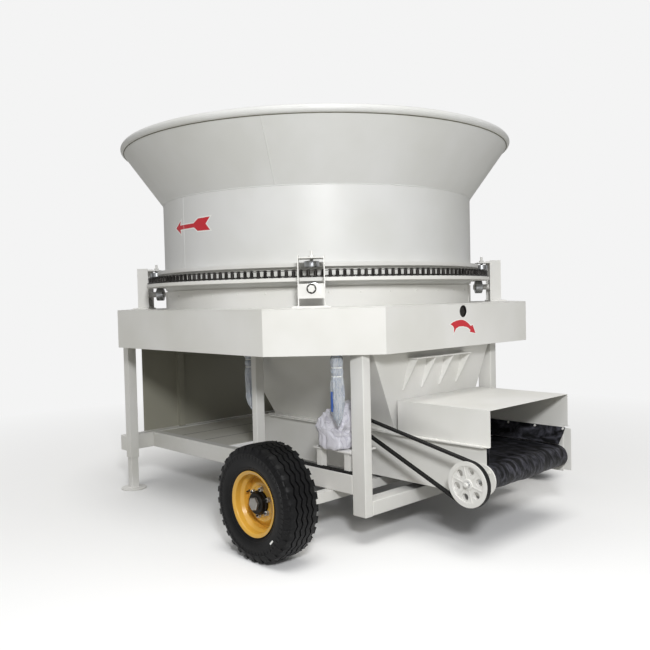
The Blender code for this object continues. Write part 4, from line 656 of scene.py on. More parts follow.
print("flare seams: {}, wall seams: {}, rim joints: {}".format(len(FLARE_SEAMS), len(WALL_SEAMS),
                                                               len(RIM_JOINTS)))

# %% [markdown]
# ## Copies round an axis and along a line
#
# Chain links, rivets, wheel nuts, tread blocks and bolts all repeat by a rule. Two small geometry
# trees hold the two rules: so many copies of one part round an axis, and so many along a line.
# Along a line each copy can be grown a little by a seeded random value, since no two hand welds
# are alike. The part has a few dozen faces at most, because there may be hundreds of it.

# %% The two trees
AROUND, around_in = geometry_tree("copies_round_an_axis", {
    "Part": (OBJECT, None), "Count": (INTEGER, 6), "Radius": (FLOAT, 1.0), "First": (FLOAT, 0.0),
    "Step": (FLOAT, 1.0), "Height": (FLOAT, 0.0), "Middle": (VECTOR, (0, 0, 0)), "Turn": (VECTOR, (0, 0, 0))})
part = add_node(AROUND, "GeometryNodeObjectInfo", {"Object": around_in["Part"]}).outputs["Geometry"]
places = add_node(AROUND, "GeometryNodePoints", {"Count": around_in["Count"]})
number = add_node(AROUND, "GeometryNodeInputIndex")
turned_by = add_node(AROUND, "ShaderNodeMath", {"Value": number, "Value_001": around_in["Step"],
                                                "Value_002": around_in["First"]}, operation="MULTIPLY_ADD")
spot = {"Z": around_in["Height"]}
for letter, function in (("X", "COSINE"), ("Y", "SINE")):
    wave = add_node(AROUND, "ShaderNodeMath", {"Value": turned_by}, operation=function)
    spot[letter] = add_node(AROUND, "ShaderNodeMath", {"Value": wave, "Value_001": around_in["Radius"]},
                            operation="MULTIPLY")
placed = add_node(AROUND, "GeometryNodeSetPosition", {
    "Geometry": places, "Position": add_node(AROUND, "ShaderNodeCombineXYZ", spot)})
heading = add_node(AROUND, "ShaderNodeCombineXYZ", {"Z": turned_by})
facing_out = add_node(AROUND, "FunctionNodeEulerToRotation", {"Euler": heading})
copied = add_node(AROUND, "GeometryNodeInstanceOnPoints", {"Points": placed, "Instance": part,
                                                           "Rotation": facing_out})
close_tree(AROUND, copied, around_in["Look"], {"Translation": around_in["Middle"], "Rotation": around_in["Turn"]})

ALONG, along_in = geometry_tree("copies_along_a_line", {
    "Part": (OBJECT, None), "Count": (INTEGER, 6), "Start": (VECTOR, (0, 0, 0)), "End": (VECTOR, (1, 0, 0)),
    "Part turn": (VECTOR, (0, 0, 0)), "Unevenness": (FLOAT, 0.0), "Seed": (INTEGER, 1)})
part = add_node(ALONG, "GeometryNodeObjectInfo", {"Object": along_in["Part"]}).outputs["Geometry"]
straight = add_node(ALONG, "GeometryNodeCurvePrimitiveLine", {"Start": along_in["Start"], "End": along_in["End"]})
marks = add_node(ALONG, "GeometryNodeCurveToPoints", {"Curve": straight, "Count": along_in["Count"]}, mode="COUNT")
held = add_node(ALONG, "FunctionNodeEulerToRotation", {"Euler": along_in["Part turn"]})
least = add_node(ALONG, "ShaderNodeMath", {"Value": 1.0, "Value_001": along_in["Unevenness"]}, operation="SUBTRACT")
growth = add_node(ALONG, "FunctionNodeRandomValue", {"Min_001": least, "Max_001": 1.0,
                                                     "Seed": along_in["Seed"]}).outputs[1]
copied = add_node(ALONG, "GeometryNodeInstanceOnPoints", {"Points": marks, "Instance": part, "Rotation": held,
                                                          "Scale": growth})
close_tree(ALONG, copied, along_in["Look"], {})
print("trees:", AROUND.name, ALONG.name)

# %% Use the trees
def copies(tree, name, bm, values, look, body, slot):
    """Copies of the part in bm; the part itself goes when they are made."""
    part_object = shown(name + "_part", outwards_mesh(bm, name + "_part"))
    mesh = run_tree(tree, name, {"Part": part_object, "Look": look, **values})
    bpy.data.objects.remove(part_object, do_unlink=True)
    return piece(name, mesh, look, body, slot)


def around(name, bm, count, radius, look, body="frame", first=0.0, step=None, height=0.0,
           middle=TUB_MIDDLE, turn=(0, 0, 0), slot="painted_sheet"):
    """Copies round an axis; first and step are in degrees."""
    each = 360.0 / count if step is None else step
    return copies(AROUND, name, bm, {"Count": count, "Radius": radius, "First": math.radians(first),
                                     "Step": math.radians(each), "Height": height, "Middle": middle,
                                     "Turn": turn}, look, body, slot)


def along(name, bm, count, start, end, look, part_turn=(0, 0, 0), unevenness=0.0, seed=1, slot="painted_sheet"):
    """Copies along a line on the frame, the first and last on its ends."""
    return copies(ALONG, name, bm, {"Count": count, "Start": start, "End": end, "Part turn": part_turn,
                                    "Unevenness": unevenness, "Seed": seed}, look, "frame", slot)


def ring_outline(radius, sides):
    """Points round a circle."""
    return [(radius * math.cos(math.tau * k / sides), radius * math.sin(math.tau * k / sides))
            for k in range(sides)]


def prism(outline, low, high, bm=None):
    """A prism on an (x, y) outline between two heights."""
    bm = bmesh.new() if bm is None else bm
    skin(bm, [[bm.verts.new((x, y, z)) for x, y in outline] for z in (low, high)])
    return bm


def broken_edges(bm, width):
    """The same part with its edges broken."""
    bmesh.ops.bevel(bm, geom=list(bm.edges), offset=width, segments=1, affect="EDGES")
    return bm


def hex_head(across, height, washer=0.0):
    """A bolt head or nut that looks along +Z, with a chamfered top and a washer below."""
    bm = bmesh.new()
    base = 0.0
    if washer:
        prism(ring_outline(washer, 16), 0.0, height * 0.22, bm)
        base = height * 0.22 - 0.0002
    skin(bm, [[bm.verts.new((x, y, z)) for x, y in ring_outline(across / math.sqrt(3) * share, 6)]
              for z, share in ((base, 1.0), (base + height * 0.82, 1.0), (base + height, 0.86))])
    return bm


print("a head of 18 mm is {:.1f} mm across its corners".format(2 * 18 / math.sqrt(3)))

# %% [markdown]
# ## The drive chain
#
# A roller chain of about 51 mm pitch lies on its side round the track: the pins stand upright,
# dark rollers show between the plates, and the white web of the tub flashes through the gaps.
# With 180 pitches the loop closes exactly. Outer and inner plates take turns, so each kind has
# 90 copies per side. Everything is steel in old oil.

# %% Chain links
chain_low, chain_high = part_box("drive_chain")
PIN_INSET = 0.024         # of the pins from the chain's outer edge
CHAIN_RADIUS = (chain_high.x - chain_low.x) / 2 - PIN_INSET
PITCHES = 180
PITCH = math.tau * CHAIN_RADIUS / PITCHES


def link_plate(low, thickness, half=0.0215):
    """A straight link plate, along Y, with its middle at the origin."""
    ends = []
    for side in (1, -1):
        for k in range(7):
            angle = side * math.pi / 2 - math.pi / 2 + math.pi * k / 6
            ends.append((half * math.cos(angle), side * PITCH / 2 + half * math.sin(angle)))
    return prism(ends, low, low + thickness)


for name, bm, count, shift in (
        ("chain_rollers", prism(ring_outline(0.0128, 12), 0.0135, 0.0435), PITCHES, 0.0),
        ("chain_pins", prism(ring_outline(0.0085, 8), 0.0005, 0.0565), PITCHES, 0.0),
        ("outer_plates_low", link_plate(0.0028, 0.005), PITCHES // 2, 0.5),
        ("outer_plates_high", link_plate(0.0500, 0.0035, 0.0150), PITCHES // 2, 0.5),
        ("inner_plates_low", link_plate(0.0084, 0.005), PITCHES // 2, 1.5),
        ("inner_plates_high", link_plate(0.0460, 0.0035, 0.0150), PITCHES // 2, 1.5)):
    made = around(name, bm, count, CHAIN_RADIUS, OILED_STEEL, first=360.0 / PITCHES * shift,
                  middle=(TUB_X, 0, chain_low.z), **like("drive_chain"))
    if name == "chain_rollers":
        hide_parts("drive_chain")
print("chain pitch {:.2f} mm, {} links".format(PITCH * 1000, PITCHES))

# %% [markdown]
# ## Rivets and stitch welds
#
# The skirt's joint ring is held by domed rivets every ten degrees. The deck plate is stitch
# welded to the folded panels: short beads some 40 mm long, a hand's width apart, just under the
# upper edge. A rivet is a flat dome of 8 sides and a stitch is a lump of 20 faces.

# %% Rivets
def dome(radius, height, sides=8, rows=3):
    """A dome that looks along +X."""
    bm = bmesh.new()
    rings = []
    for row in range(rows):
        rise = math.pi / 2 * row / rows
        rings.append([bm.verts.new((height * math.sin(rise), y, z))
                      for y, z in ring_outline(radius * math.cos(rise), sides)])
    skin(bm, rings, ends=False)
    tip = bm.verts.new((height, 0, 0))
    for k in range(sides):
        bm.faces.new((rings[-1][k], rings[-1][(k + 1) % sides], tip))
    bm.faces.new(list(reversed(rings[0])))
    return bm


RIVET_Z = 1.731
around("skirt_rivets", dome(0.0085, 0.0045), 36, skirt_r, ENAMEL, height=RIVET_Z)
print("rivets at z", RIVET_Z)

# %% Stitch welds under the deck's upper edge
deck_low, deck_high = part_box("deck_panels")
DECK_CHAMFER = 0.580
STITCH_SPACING = 0.14
END_GAP = 0.06            # from a corner to the first stitch
half_x, half_y = (deck_high.x - deck_low.x) / 2, (deck_high.y - deck_low.y) / 2
near_x, near_y = half_x - DECK_CHAMFER, half_y - DECK_CHAMFER
CORNERS = [Vector((TUB_X + x, y, 0)) for x, y in (
    (near_x, -half_y), (half_x, -near_y), (half_x, near_y), (near_x, half_y),
    (-near_x, half_y), (-half_x, near_y), (-half_x, -near_y), (-near_x, -half_y))]
STITCH_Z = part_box("deck_plate")[0].z - 0.0004
for number, (start, end) in enumerate(zip(CORNERS, CORNERS[1:] + CORNERS[:1])):
    run = end - start
    gap = run.normalized() * END_GAP
    shift = Vector((-run.y, run.x, 0)).normalized() * 0.0012 + Vector((0, 0, STITCH_Z))
    stitch = bmesh.new()
    bmesh.ops.create_icosphere(stitch, subdivisions=1, radius=1.0,
                               matrix=Matrix.Diagonal((0.022, 0.0028, 0.0034, 1.0)))
    along("deck_stitches_{}".format(number), stitch, max(2, round(run.length / STITCH_SPACING)),
          start + gap + shift, end - gap + shift, ENAMEL, part_turn=(0, 0, math.atan2(run.y, run.x)),
          unevenness=0.25, seed=number + 3)
print("deck corners:", len(CORNERS))

# %% [markdown]
# ## Turned pieces
#
# Wheels, hubs, rollers, drums and pulleys are all made on a lathe, so all come from one tree: a
# section line, swept round an axis. The same tree makes the tyre, with one rule more. The tread
# of a trailer tyre has ribs that zigzag: each groove swings to and fro as it goes round. Where
# the section is deep in the tread, the tree shifts it sideways by a triangle wave of the angle.

# %% The lathe's tree
LATHE, lathe_in = geometry_tree("section_round_an_axis", {
    "Section": (OBJECT, None), "Facets": (INTEGER, 96), "Zigzags": (FLOAT, 0.0), "Swing": (FLOAT, 0.0),
    "Swing beyond": (FLOAT, 10.0), "Middle": (VECTOR, (0, 0, 0)), "Turn": (VECTOR, (0, 0, 0))})
line = add_node(LATHE, "GeometryNodeObjectInfo", {"Object": lathe_in["Section"]}).outputs["Geometry"]
section_curve = add_node(LATHE, "GeometryNodeMeshToCurve", {"Mesh": line})
round_path = add_node(LATHE, "GeometryNodeCurvePrimitiveCircle", {"Resolution": lathe_in["Facets"], "Radius": 1.0})
lathed = add_node(LATHE, "GeometryNodeCurveToMesh", {"Curve": round_path, "Profile Curve": section_curve})
closed = add_node(LATHE, "GeometryNodeMergeByDistance", {"Geometry": lathed, "Distance": 0.00001})
point = add_node(LATHE, "GeometryNodeInputPosition")
split = add_node(LATHE, "ShaderNodeSeparateXYZ", {"Vector": point}).outputs
sideways = add_node(LATHE, "ShaderNodeMath", {"Value": split["Y"], "Value_001": split["X"]}, operation="ARCTAN2")
for factor, operation, more in ((1.0 / math.tau, "MULTIPLY", {}), (lathe_in["Zigzags"], "MULTIPLY", {}),
                                (0.5, "PINGPONG", {}), (4.0, "MULTIPLY_ADD", {"Value_002": -1.0})):
    sideways = add_node(LATHE, "ShaderNodeMath", {"Value": sideways, "Value_001": factor, **more},
                        operation=operation)
flat = add_node(LATHE, "ShaderNodeVectorMath", {"Vector": point, "Vector_001": (1, 1, 0)}, operation="MULTIPLY")
distance = add_node(LATHE, "ShaderNodeVectorMath", {"Vector": flat}, operation="LENGTH")
swing = add_node(LATHE, "ShaderNodeMath", {"Value": distance, "Value_001": lathe_in["Swing beyond"]},
                 operation="GREATER_THAN")
for factor in (lathe_in["Swing"], sideways):
    swing = add_node(LATHE, "ShaderNodeMath", {"Value": swing, "Value_001": factor}, operation="MULTIPLY")
offset = add_node(LATHE, "ShaderNodeCombineXYZ", {"Z": swing})
zigzagged = add_node(LATHE, "GeometryNodeSetPosition", {"Geometry": closed, "Offset": offset})
close_tree(LATHE, zigzagged, lathe_in["Look"], {"Translation": lathe_in["Middle"], "Rotation": lathe_in["Turn"]})


print("tree:", LATHE.name)

# %% Use the lathe
def outward(mesh):
    """Turn every face of a closed mesh outwards."""
    bm = bmesh.new()
    bm.from_mesh(mesh)
    bmesh.ops.recalc_face_normals(bm, faces=bm.faces)
    bm.to_mesh(mesh)
    bm.free()


def turn_to(axis):
    """The Euler turn that takes the Z axis to another one."""
    return Vector((0, 0, 1)).rotation_difference(Vector(axis)).to_euler()


def mirrored(line):
    """A line and then its mirror image below the middle."""
    return line + [(radius, -height) for radius, height in reversed(line)]


def turned_piece(name, outline, look, middle, turn=(0, 0, 0), facets=96, closed_line=True, smooth_angle=30,
                 tread=None, **place):
    """A turned piece; outline is (radius, height) with the height along the axis, from the middle."""
    data = bpy.data.meshes.new(name + "_section")
    count = len(outline)
    # The path has a radius of 1 and a section's Y runs down.
    data.from_pydata([(radius - 1.0, -height, 0.0) for radius, height in outline],
                     [(k, (k + 1) % count) for k in range(count if closed_line else count - 1)], [])
    section_object = shown(name + "_section", data)
    mesh = run_tree(LATHE, name, {"Section": section_object, "Facets": facets, "Middle": middle, "Turn": turn,
                                  "Look": look, **(tread or {})}, smooth_angle)
    bpy.data.objects.remove(section_object, do_unlink=True)
    outward(mesh)
    return piece(name, mesh, look, **place)


def rounded_line(points, radius, steps=2):
    """A closed outline with rounded corners."""
    out = []
    for k, point in enumerate(points):
        here_at, before, after = Vector(point), Vector(points[k - 1]), Vector(points[(k + 1) % len(points)])
        reach = min(radius, 0.45 * min((here_at - before).length, (here_at - after).length))
        start = here_at + (before - here_at).normalized() * reach
        end = here_at + (after - here_at).normalized() * reach
        for step in range(steps + 1):
            share = step / steps
            out.append(tuple(start.lerp(here_at, share).lerp(here_at.lerp(end, share), share)))
    return out


print("the turn from Z to -Y, in degrees:", [round(math.degrees(value)) for value in turn_to((0, -1, 0))])

# %% [markdown]
# ## The tyres
#
# A 760 mm implement tyre: five zigzag ribs across the tread, shoulder blocks that reach down the
# side, a comb of short ribs below them, moulded rings on the side wall and a bead at the rim. The
# section is drawn once, for one half, and mirrored. The blocks are copies with a rib's depth.

# %% Tyre section
tyre_low, tyre_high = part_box("tyre_right")
TYRE_R = (tyre_high.z - tyre_low.z) / 2
TYRE_HALF = (tyre_high.y - tyre_low.y) / 2
SEAT_R = 0.195
FLANGE_R = 0.215
TREAD_HALF = TYRE_HALF * 0.80
GROOVE, GROOVE_HALF, GROOVE_SLOPE = 0.011, 0.00575, 0.002     # depth, half width, run of its sides
ZIGZAGS = 30
OUTWARDS = {"right": (0, -1, 0), "left": (0, 1, 0)}
WHEEL = {}
for side, axis in OUTWARDS.items():
    low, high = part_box("tyre_" + side)
    WHEEL[side] = {"middle": (low + high) / 2, "turn": turn_to(axis)}


def tyre_half():
    """Half of the tyre's section, from the middle of the tread to the bead, as (radius, height)."""
    crown = TYRE_R - 0.0008
    line = [(crown, 0.0)]
    for k in range(2):
        at = TREAD_HALF * 2 / 5 * (k + 0.5)
        top = crown - 0.0030 * (at / TREAD_HALF) ** 2
        line += [(top, at - GROOVE_HALF), (top - GROOVE, at - GROOVE_HALF + GROOVE_SLOPE),
                 (top - GROOVE, at + GROOVE_HALF - GROOVE_SLOPE), (top, at + GROOVE_HALF)]
    line.append((crown - 0.0065, TREAD_HALF))
    line += [(TYRE_R - depth, TYRE_HALF * share) for depth, share in (
        (0.0185, 0.86), (0.030, 0.915), (0.042, 0.945), (0.052, 0.965), (0.054, 0.985), (0.058, 0.985),
        (0.060, 0.975), (0.085, 0.99), (0.105, 0.985), (0.125, 0.955))]
    line += [(FLANGE_R + rise, TYRE_HALF * share) for rise, share in (
        (0.026, 0.915), (0.023, 0.925), (0.019, 0.905), (0.006, 0.845))]
    return line + [(FLANGE_R + 0.001, 0.1045), (SEAT_R + 0.004, 0.1035), (SEAT_R + 0.0006, 0.100)]


def side_block(shoulder, near, far, edge):
    """A block on a tyre's side; near and far are its (depth, width, inner share, outer share)."""
    bm = bmesh.new()
    bmesh.ops.create_cube(bm, size=1.0)
    for vert in bm.verts:
        depth, width, *reach = near if vert.co.x > 0 else far
        vert.co = (TYRE_R - depth, vert.co.y * width, shoulder * TYRE_HALF * reach[vert.co.z > 0])
    return broken_edges(bm, edge)


half_line = tyre_half()
print("points of half a tyre:", len(half_line))

# %% Tyres with their tread
SWING = 0.0075
SWING_DEPTH = 0.0155      # the grooves' edges swing down to here
BLOCK = ((0.0095, 0.040, 0.80, 0.895), (0.052, 0.017, 0.90, 0.980), 0.003)
SIDE_RIB = ((0.060, 0.0085, 0.955, 0.997), (0.086, 0.0085, 0.955, 0.997), 0.0015)
whole_line = half_line[:1] + mirrored(half_line[1:])
for side, wheel in WHEEL.items():
    turned_piece("tyre_{}_rubber".format(side), whole_line, TYRE_RUBBER, **wheel, facets=ZIGZAGS * 8,
                 smooth_angle=38, tread={"Zigzags": ZIGZAGS, "Swing": SWING, "Swing beyond": TYRE_R - SWING_DEPTH},
                 **in_place_of("tyre_" + side))
    for shoulder, where in ((1, "out"), (-1, "in")):
        around("tread_blocks_{}_{}".format(side, where), side_block(shoulder, *BLOCK), ZIGZAGS, 0.0, TYRE_RUBBER,
               first=90.0 / ZIGZAGS * (1 + shoulder), **wheel, **like("tyre_" + side))
        around("side_ribs_{}_{}".format(side, where), side_block(shoulder, *SIDE_RIB), ZIGZAGS * 2, 0.0,
               TYRE_RUBBER, **wheel, **like("tyre_" + side))
print("tyre radius {:.3f} m, half width {:.3f} m".format(TYRE_R, TYRE_HALF))

# %% [markdown]
# ## The wheel rims
#
# A pressed steel wheel is a well rolled from one strip, with both lips turned out, and a dished
# disc welded inside. Both are sprayed the same warm yellow. Rim and disc are two sections on the
# lathe. The hub is a casting that shows black in the middle, with a nut cap over the bearing.

# %% Rim and disc
RIM_LINE = [(0.215, 0.1145), (0.2145, 0.1085), (0.197, 0.1045), (0.195, 0.100), (0.195, 0.062),
            (0.178, 0.050), (0.178, -0.030), (0.195, -0.045), (0.195, -0.100), (0.197, -0.1045),
            (0.2145, -0.1085), (0.215, -0.1145), (0.209, -0.1145), (0.191, -0.107), (0.189, -0.100),
            (0.189, -0.047), (0.172, -0.033), (0.172, 0.046), (0.189, 0.066), (0.189, 0.098),
            (0.191, 0.106), (0.209, 0.1145)]
DISC_FRONT = [(0.0645, 0.0435), (0.090, 0.0435), (0.100, 0.0425), (0.108, 0.0365), (0.118, 0.0415),
              (0.128, 0.040), (0.135, 0.034), (0.150, 0.020), (0.160, 0.010), (0.1725, 0.008)]
DISC_THICKNESS = 0.006
DISC_LINE = DISC_FRONT + [(radius, height - DISC_THICKNESS) for radius, height in reversed(DISC_FRONT)]
HUB_LINE = [(0.0, 0.065), (0.0288, 0.065), (0.0288, -0.040), (0.062, -0.040), (0.062, 0.0375),
            (0.078, 0.0440), (0.078, 0.060), (0.072, 0.064), (0.070, 0.085), (0.065, 0.090),
            (0.046, 0.090), (0.0, 0.090)]
for side, wheel in WHEEL.items():
    turned_piece("rim_" + side, rounded_line(RIM_LINE, 0.003), WHEEL_ENAMEL, **wheel, facets=128,
                 smooth_angle=40, **in_place_of("wheel_" + side))
    turned_piece("wheel_disc_" + side, rounded_line(DISC_LINE, 0.004), WHEEL_ENAMEL, **wheel, facets=128,
                 smooth_angle=50, **like("wheel_" + side))
    turned_piece("hub_" + side, HUB_LINE, CAST_IRON, **wheel, facets=48, closed_line=False, smooth_angle=35,
                 body=BODY_OF["wheel_" + side], slot="dark_steel")
print("rim width {:.3f} m".format(2 * RIM_LINE[0][1]))

# %% Wheel nuts, bearing cap and valve
NUT_CIRCLE = 0.0885
NUT_SEAT = 0.0434
VALVE_TURN = 161.0
for side, wheel in WHEEL.items():
    place = {**wheel, "body": BODY_OF["wheel_" + side]}
    around("wheel_nuts_" + side, hex_head(0.027, 0.017, washer=0.017), 6, NUT_CIRCLE, ZINC, first=20.0,
           height=NUT_SEAT, slot="bright_steel", **place)
    around("wheel_studs_" + side, prism(ring_outline(0.0075, 10), 0.0, 0.026), 6, NUT_CIRCLE, OILED_STEEL,
           first=20.0, height=NUT_SEAT, slot="dark_steel", **place)
    around("bearing_cap_" + side, hex_head(0.078, 0.022), 1, 0.0, CAP_STEEL, first=12.0, height=0.0895,
           slot="dark_steel", **place)
    # The valve hole is a thin dark disc: painted shade of the hole.
    hole = prism([(1.6 * x, y) for x, y in ring_outline(0.0085, 16)], 0.0, 0.002)
    around("valve_hole_" + side, hole, 1, 0.1425, DARK_HOLLOW, first=VALVE_TURN, height=0.0262,
           slot="dark_steel", **place)
    around("valve_" + side, prism(ring_outline(0.0045, 10), 0.0, 0.030), 1, 0.1445, V_BELT_RUBBER,
           first=VALVE_TURN, height=0.022, slot="tyre_rubber", **place)
print("wheel nuts on a {:.0f} mm circle".format(2000 * NUT_CIRCLE))

# %% [markdown]
# ## Rollers and their brackets
#
# Each corner has a short steel roller on a lying pin, which carries the track, and one on an
# upright pin, which keeps the collar in the middle. They are bright turned steel with broken
# edges and a recessed face. The bracket round them is folded plate, welded to the deck, with a
# large hex bolt on the front and a slot on top in which the upright pin is set.

# %% Rollers
CORNER_TURN = {"front_right": -45.0, "front_left": 45.0, "rear_left": 135.0, "rear_right": -135.0}
GUIDE_BORE = 0.0117
SUPPORT_BORE = 0.0157
SUPPORT_HALF = 0.030
GUIDE_HUB = 0.024
GUIDE_RIM = 0.046
RECESS = 0.003
for corner, degrees in CORNER_TURN.items():
    node = "guide_roller_" + corner
    low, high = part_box(node)
    reach, half = (high.x - low.x) / 2, (high.z - low.z) / 2
    face = [(GUIDE_BORE, half), (GUIDE_HUB, half), (GUIDE_HUB + 0.002, half - RECESS),
            (GUIDE_RIM - 0.002, half - RECESS), (GUIDE_RIM, half), (reach - 0.0025, half), (reach, half - 0.0025)]
    turned_piece(node + "_turned", mirrored(face), ZINC, (low + high) / 2, facets=48, **in_place_of(node))
    node = "support_roller_" + corner
    low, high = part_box(node)
    reach, half = (high.z - low.z) / 2, SUPPORT_HALF
    face = [(SUPPORT_BORE, half), (reach - 0.004, half), (reach - 0.001, half - 0.0015), (reach, half - 0.005)]
    turned_piece(node + "_turned", mirrored(face), ZINC, (low + high) / 2,
                 turn_to(tub_point(degrees, 1.0, 0.0) - TUB_MIDDLE), facets=48, **in_place_of(node))
print("rollers at", sorted(CORNER_TURN.values()), "degrees")

# %% Bolts, slots and welds of the brackets
BRACKET_FACE = 1.600
BRACKET_BACK = 1.508
BRACKET_SIDE = 0.0935
BRACKET_FOOT_Z = 1.638
PIN_Z = 1.7547
TOP_PLATE_Z = 1.970
GUIDE_PIN_AT = 1.4508
for corner, degrees in CORNER_TURN.items():
    outwards = tub_point(degrees, 1.0, 0.0) - TUB_MIDDLE
    side = Vector((-outwards.y, outwards.x, 0))
    front = {"middle": tub_point(degrees, BRACKET_FACE, PIN_Z), "turn": turn_to(outwards)}
    around("bracket_bolt_" + corner, hex_head(0.046, 0.016), 1, 0.0, ENAMEL, first=30.0, height=-0.0005,
           slot="bright_steel", **front)
    # The gap round the bolt and the pin's slot are thin dark discs: painted shade of the hollows.
    around("bracket_bolt_gap_" + corner, prism(ring_outline(0.0345, 24), 0.0, 0.0010), 1, 0.0, DARK_HOLLOW,
           height=-0.0006, slot="dark_steel", **front)
    pin_slot = prism([(x, 2.2 * y) for x, y in ring_outline(0.0155, 20)], 0.0, 0.0009)
    around("pin_slot_" + corner, pin_slot, 1, GUIDE_PIN_AT, DARK_HOLLOW, first=degrees, height=TOP_PLATE_Z,
           slot="dark_steel")
    for mark, sign in (("a", 1), ("b", -1)):
        foot = side * sign * (BRACKET_SIDE + 0.002)
        weld("foot_weld_{}_{}".format(corner, mark),
             [tub_point(degrees, radius, BRACKET_FOOT_Z + 0.001) + foot
              for radius in (BRACKET_BACK, BRACKET_FACE + 0.004)], 0.0065, ENAMEL, "frame")
for node, width, look in (("rotor", 0.002, OILED_STEEL), ("head_drum", 0.002, ZINC), ("tie_hook", 0.001, ENAMEL)):
    rounded(node, width, look, segments=1)
print("bracket face at radius {:.3f} m".format(BRACKET_FACE))

# %% [markdown]
# ## The conveyor belt
#
# The belt is one loop of fabric-backed rubber, 0.94 m wide, slack enough to ripple. Lighter strokes
# run the way it travels: partly scuffs, partly its dull sheen, painted in. The loop is a strip drawn
# along a stadium path, with noise that is stretched along the travel pushing its outer face. Two
# rubber skirts, bolted to the side plates, hang down on it and keep the stuff from spilling.

# %% Belt loop
belt_low, belt_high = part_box("conveyor_belt")
BELT_OUTER = (belt_high.z - belt_low.z) / 2
BELT_SHEET = 0.010
BELT_HALF = (belt_high.y - belt_low.y) / 2
DRUM_X = belt_high.x - BELT_OUTER
TAIL_X = belt_low.x + BELT_OUTER
DRUM_Z = (belt_high.z + belt_low.z) / 2
STEPS, STRIPS = 300, 54
RIBBING, SWELLING, PRESSED_IN = 0.0030, 0.0062, 0.0042   # of the outer face


def belt_place(share):
    """The middle line's point and outward direction at a share of the loop; it starts on top."""
    run = DRUM_X - TAIL_X
    bend = math.pi * BELT_OUTER
    way = share * 2 * (run + bend)
    if way < run:
        return Vector((TAIL_X + way, 0, DRUM_Z)), Vector((0, 0, 1))
    way -= run
    if way < bend:
        turn = math.pi / 2 - way / BELT_OUTER
        return Vector((DRUM_X, 0, DRUM_Z)), Vector((math.cos(turn), 0, math.sin(turn)))
    way -= bend
    if way < run:
        return Vector((DRUM_X - way, 0, DRUM_Z)), Vector((0, 0, -1))
    turn = -math.pi / 2 - (way - run) / BELT_OUTER
    return Vector((TAIL_X, 0, DRUM_Z)), Vector((math.cos(turn), 0, math.sin(turn)))


belt_bm = bmesh.new()
rings = []
for step in range(STEPS):
    middle, out = belt_place(step / STEPS)
    travel = step / STEPS * 2 * (DRUM_X - TAIL_X)
    outer_row, inner_row = [], []
    for strip in range(STRIPS + 1):
        y = BELT_HALF * (2 * strip / STRIPS - 1)
        rib = noise.noise(Vector((y * 21, travel * 3.0, 0.5)))
        swell = noise.noise(Vector((y * 5, travel * 4.5, 7.5)))
        push = RIBBING * rib + SWELLING * swell - PRESSED_IN
        outer_row.append(belt_bm.verts.new(middle + out * (BELT_OUTER + push) + Vector((0, y, 0))))
        inner_row.append(belt_bm.verts.new(middle + out * (BELT_OUTER - BELT_SHEET) + Vector((0, y, 0))))
    rings.append(outer_row + inner_row[::-1])
skin(belt_bm, rings + rings[:1], ends=False)
piece("belt_loop", outwards_mesh(belt_bm, "belt_loop", 50), BELT_RUBBER, **in_place_of("conveyor_belt"))
print("belt loop {:.2f} m long".format(2 * (DRUM_X - TAIL_X) + math.tau * BELT_OUTER))

# %% Rubber skirts on both sides
SIDE_PLATE_Y = 0.494
SKIRT_TOP = 0.694
SKIRT_FRONT = DRUM_X + 0.052
SKIRT_BACK = TUB_X + 1.36
SKIRT_BULGE = 0.030
for name, side in (("right", -1), ("left", 1)):
    strip_bm = bmesh.new()
    columns = []
    for step in range(71):
        columns.append([])
        for row in range(13):
            hang = row / 12
            x = SKIRT_BACK + (SKIRT_FRONT - 0.035 * hang - SKIRT_BACK) * step / 70
            wave = noise.noise(Vector((x * 9, hang * 2.5, side * 3.0)))
            y = SIDE_PLATE_Y - 0.004 - SKIRT_BULGE * hang ** 2 - 0.012 * hang * (1 + wave)
            z = SKIRT_TOP - hang * (SKIRT_TOP - DRUM_Z - BELT_OUTER - 0.006 * (1 + wave))
            columns[-1].append(strip_bm.verts.new((x, side * y, z)))
    skin(strip_bm, columns, closed=False, ends=False)
    piece("belt_skirt_" + name, thickened(strip_bm, "belt_skirt_" + name, 0.004, 0.0, 50), BELT_RUBBER,
          slot="belt_rubber")
    y, z = side * (SIDE_PLATE_Y - 0.006), SKIRT_TOP - 0.012
    along("skirt_bolts_" + name, hex_head(0.014, 0.007, washer=0.010), 4, (SKIRT_BACK + 0.03, y, z),
          (SKIRT_FRONT - 0.018, y, z), ENAMEL, part_turn=turn_to((0, -side, 0)), slot="bright_steel")
print("skirts {:.2f} m long".format(SKIRT_FRONT - SKIRT_BACK))

# %% [markdown]
# ## Hood bolts and drum bearings
#
# The hood's lower flanges are bolted down with small hex bolts. The drum's shaft runs in flange
# bearings. The right one is a round flange with a raised boss and four bolts, all painted over,
# and the left one sits on an end plate that also guards the belt's edge.

# %% Hood bolts and bearings
hood_low, hood_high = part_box("discharge_hood")
FLANGE_Y = hood_high.y - 0.014
FLANGE_TOP = hood_low.z + 0.0030
for name, side in (("right", -1), ("left", 1)):
    along("hood_bolts_" + name, hex_head(0.013, 0.006, washer=0.0095), 6,
          (hood_low.x + 0.11, side * FLANGE_Y, FLANGE_TOP), (hood_high.x - 0.06, side * FLANGE_Y, FLANGE_TOP),
          ENAMEL, slot="bright_steel")
BEARING_LINE = [(0.0212, 0.0), (0.104, 0.0), (0.106, 0.002), (0.106, 0.008), (0.104, 0.010), (0.060, 0.010),
                (0.052, 0.016), (0.046, 0.026), (0.041, 0.028), (0.0212, 0.028)]
END_PLATE_THICKNESS = 0.0060
END_PLATE = [(-0.090, -0.104), (0.070, -0.104), (0.088, -0.086), (0.088, 0.150), (0.062, 0.206), (-0.090, 0.206)]
BEARING_Y = 0.5003        # the outer face of the conveyor's side plates
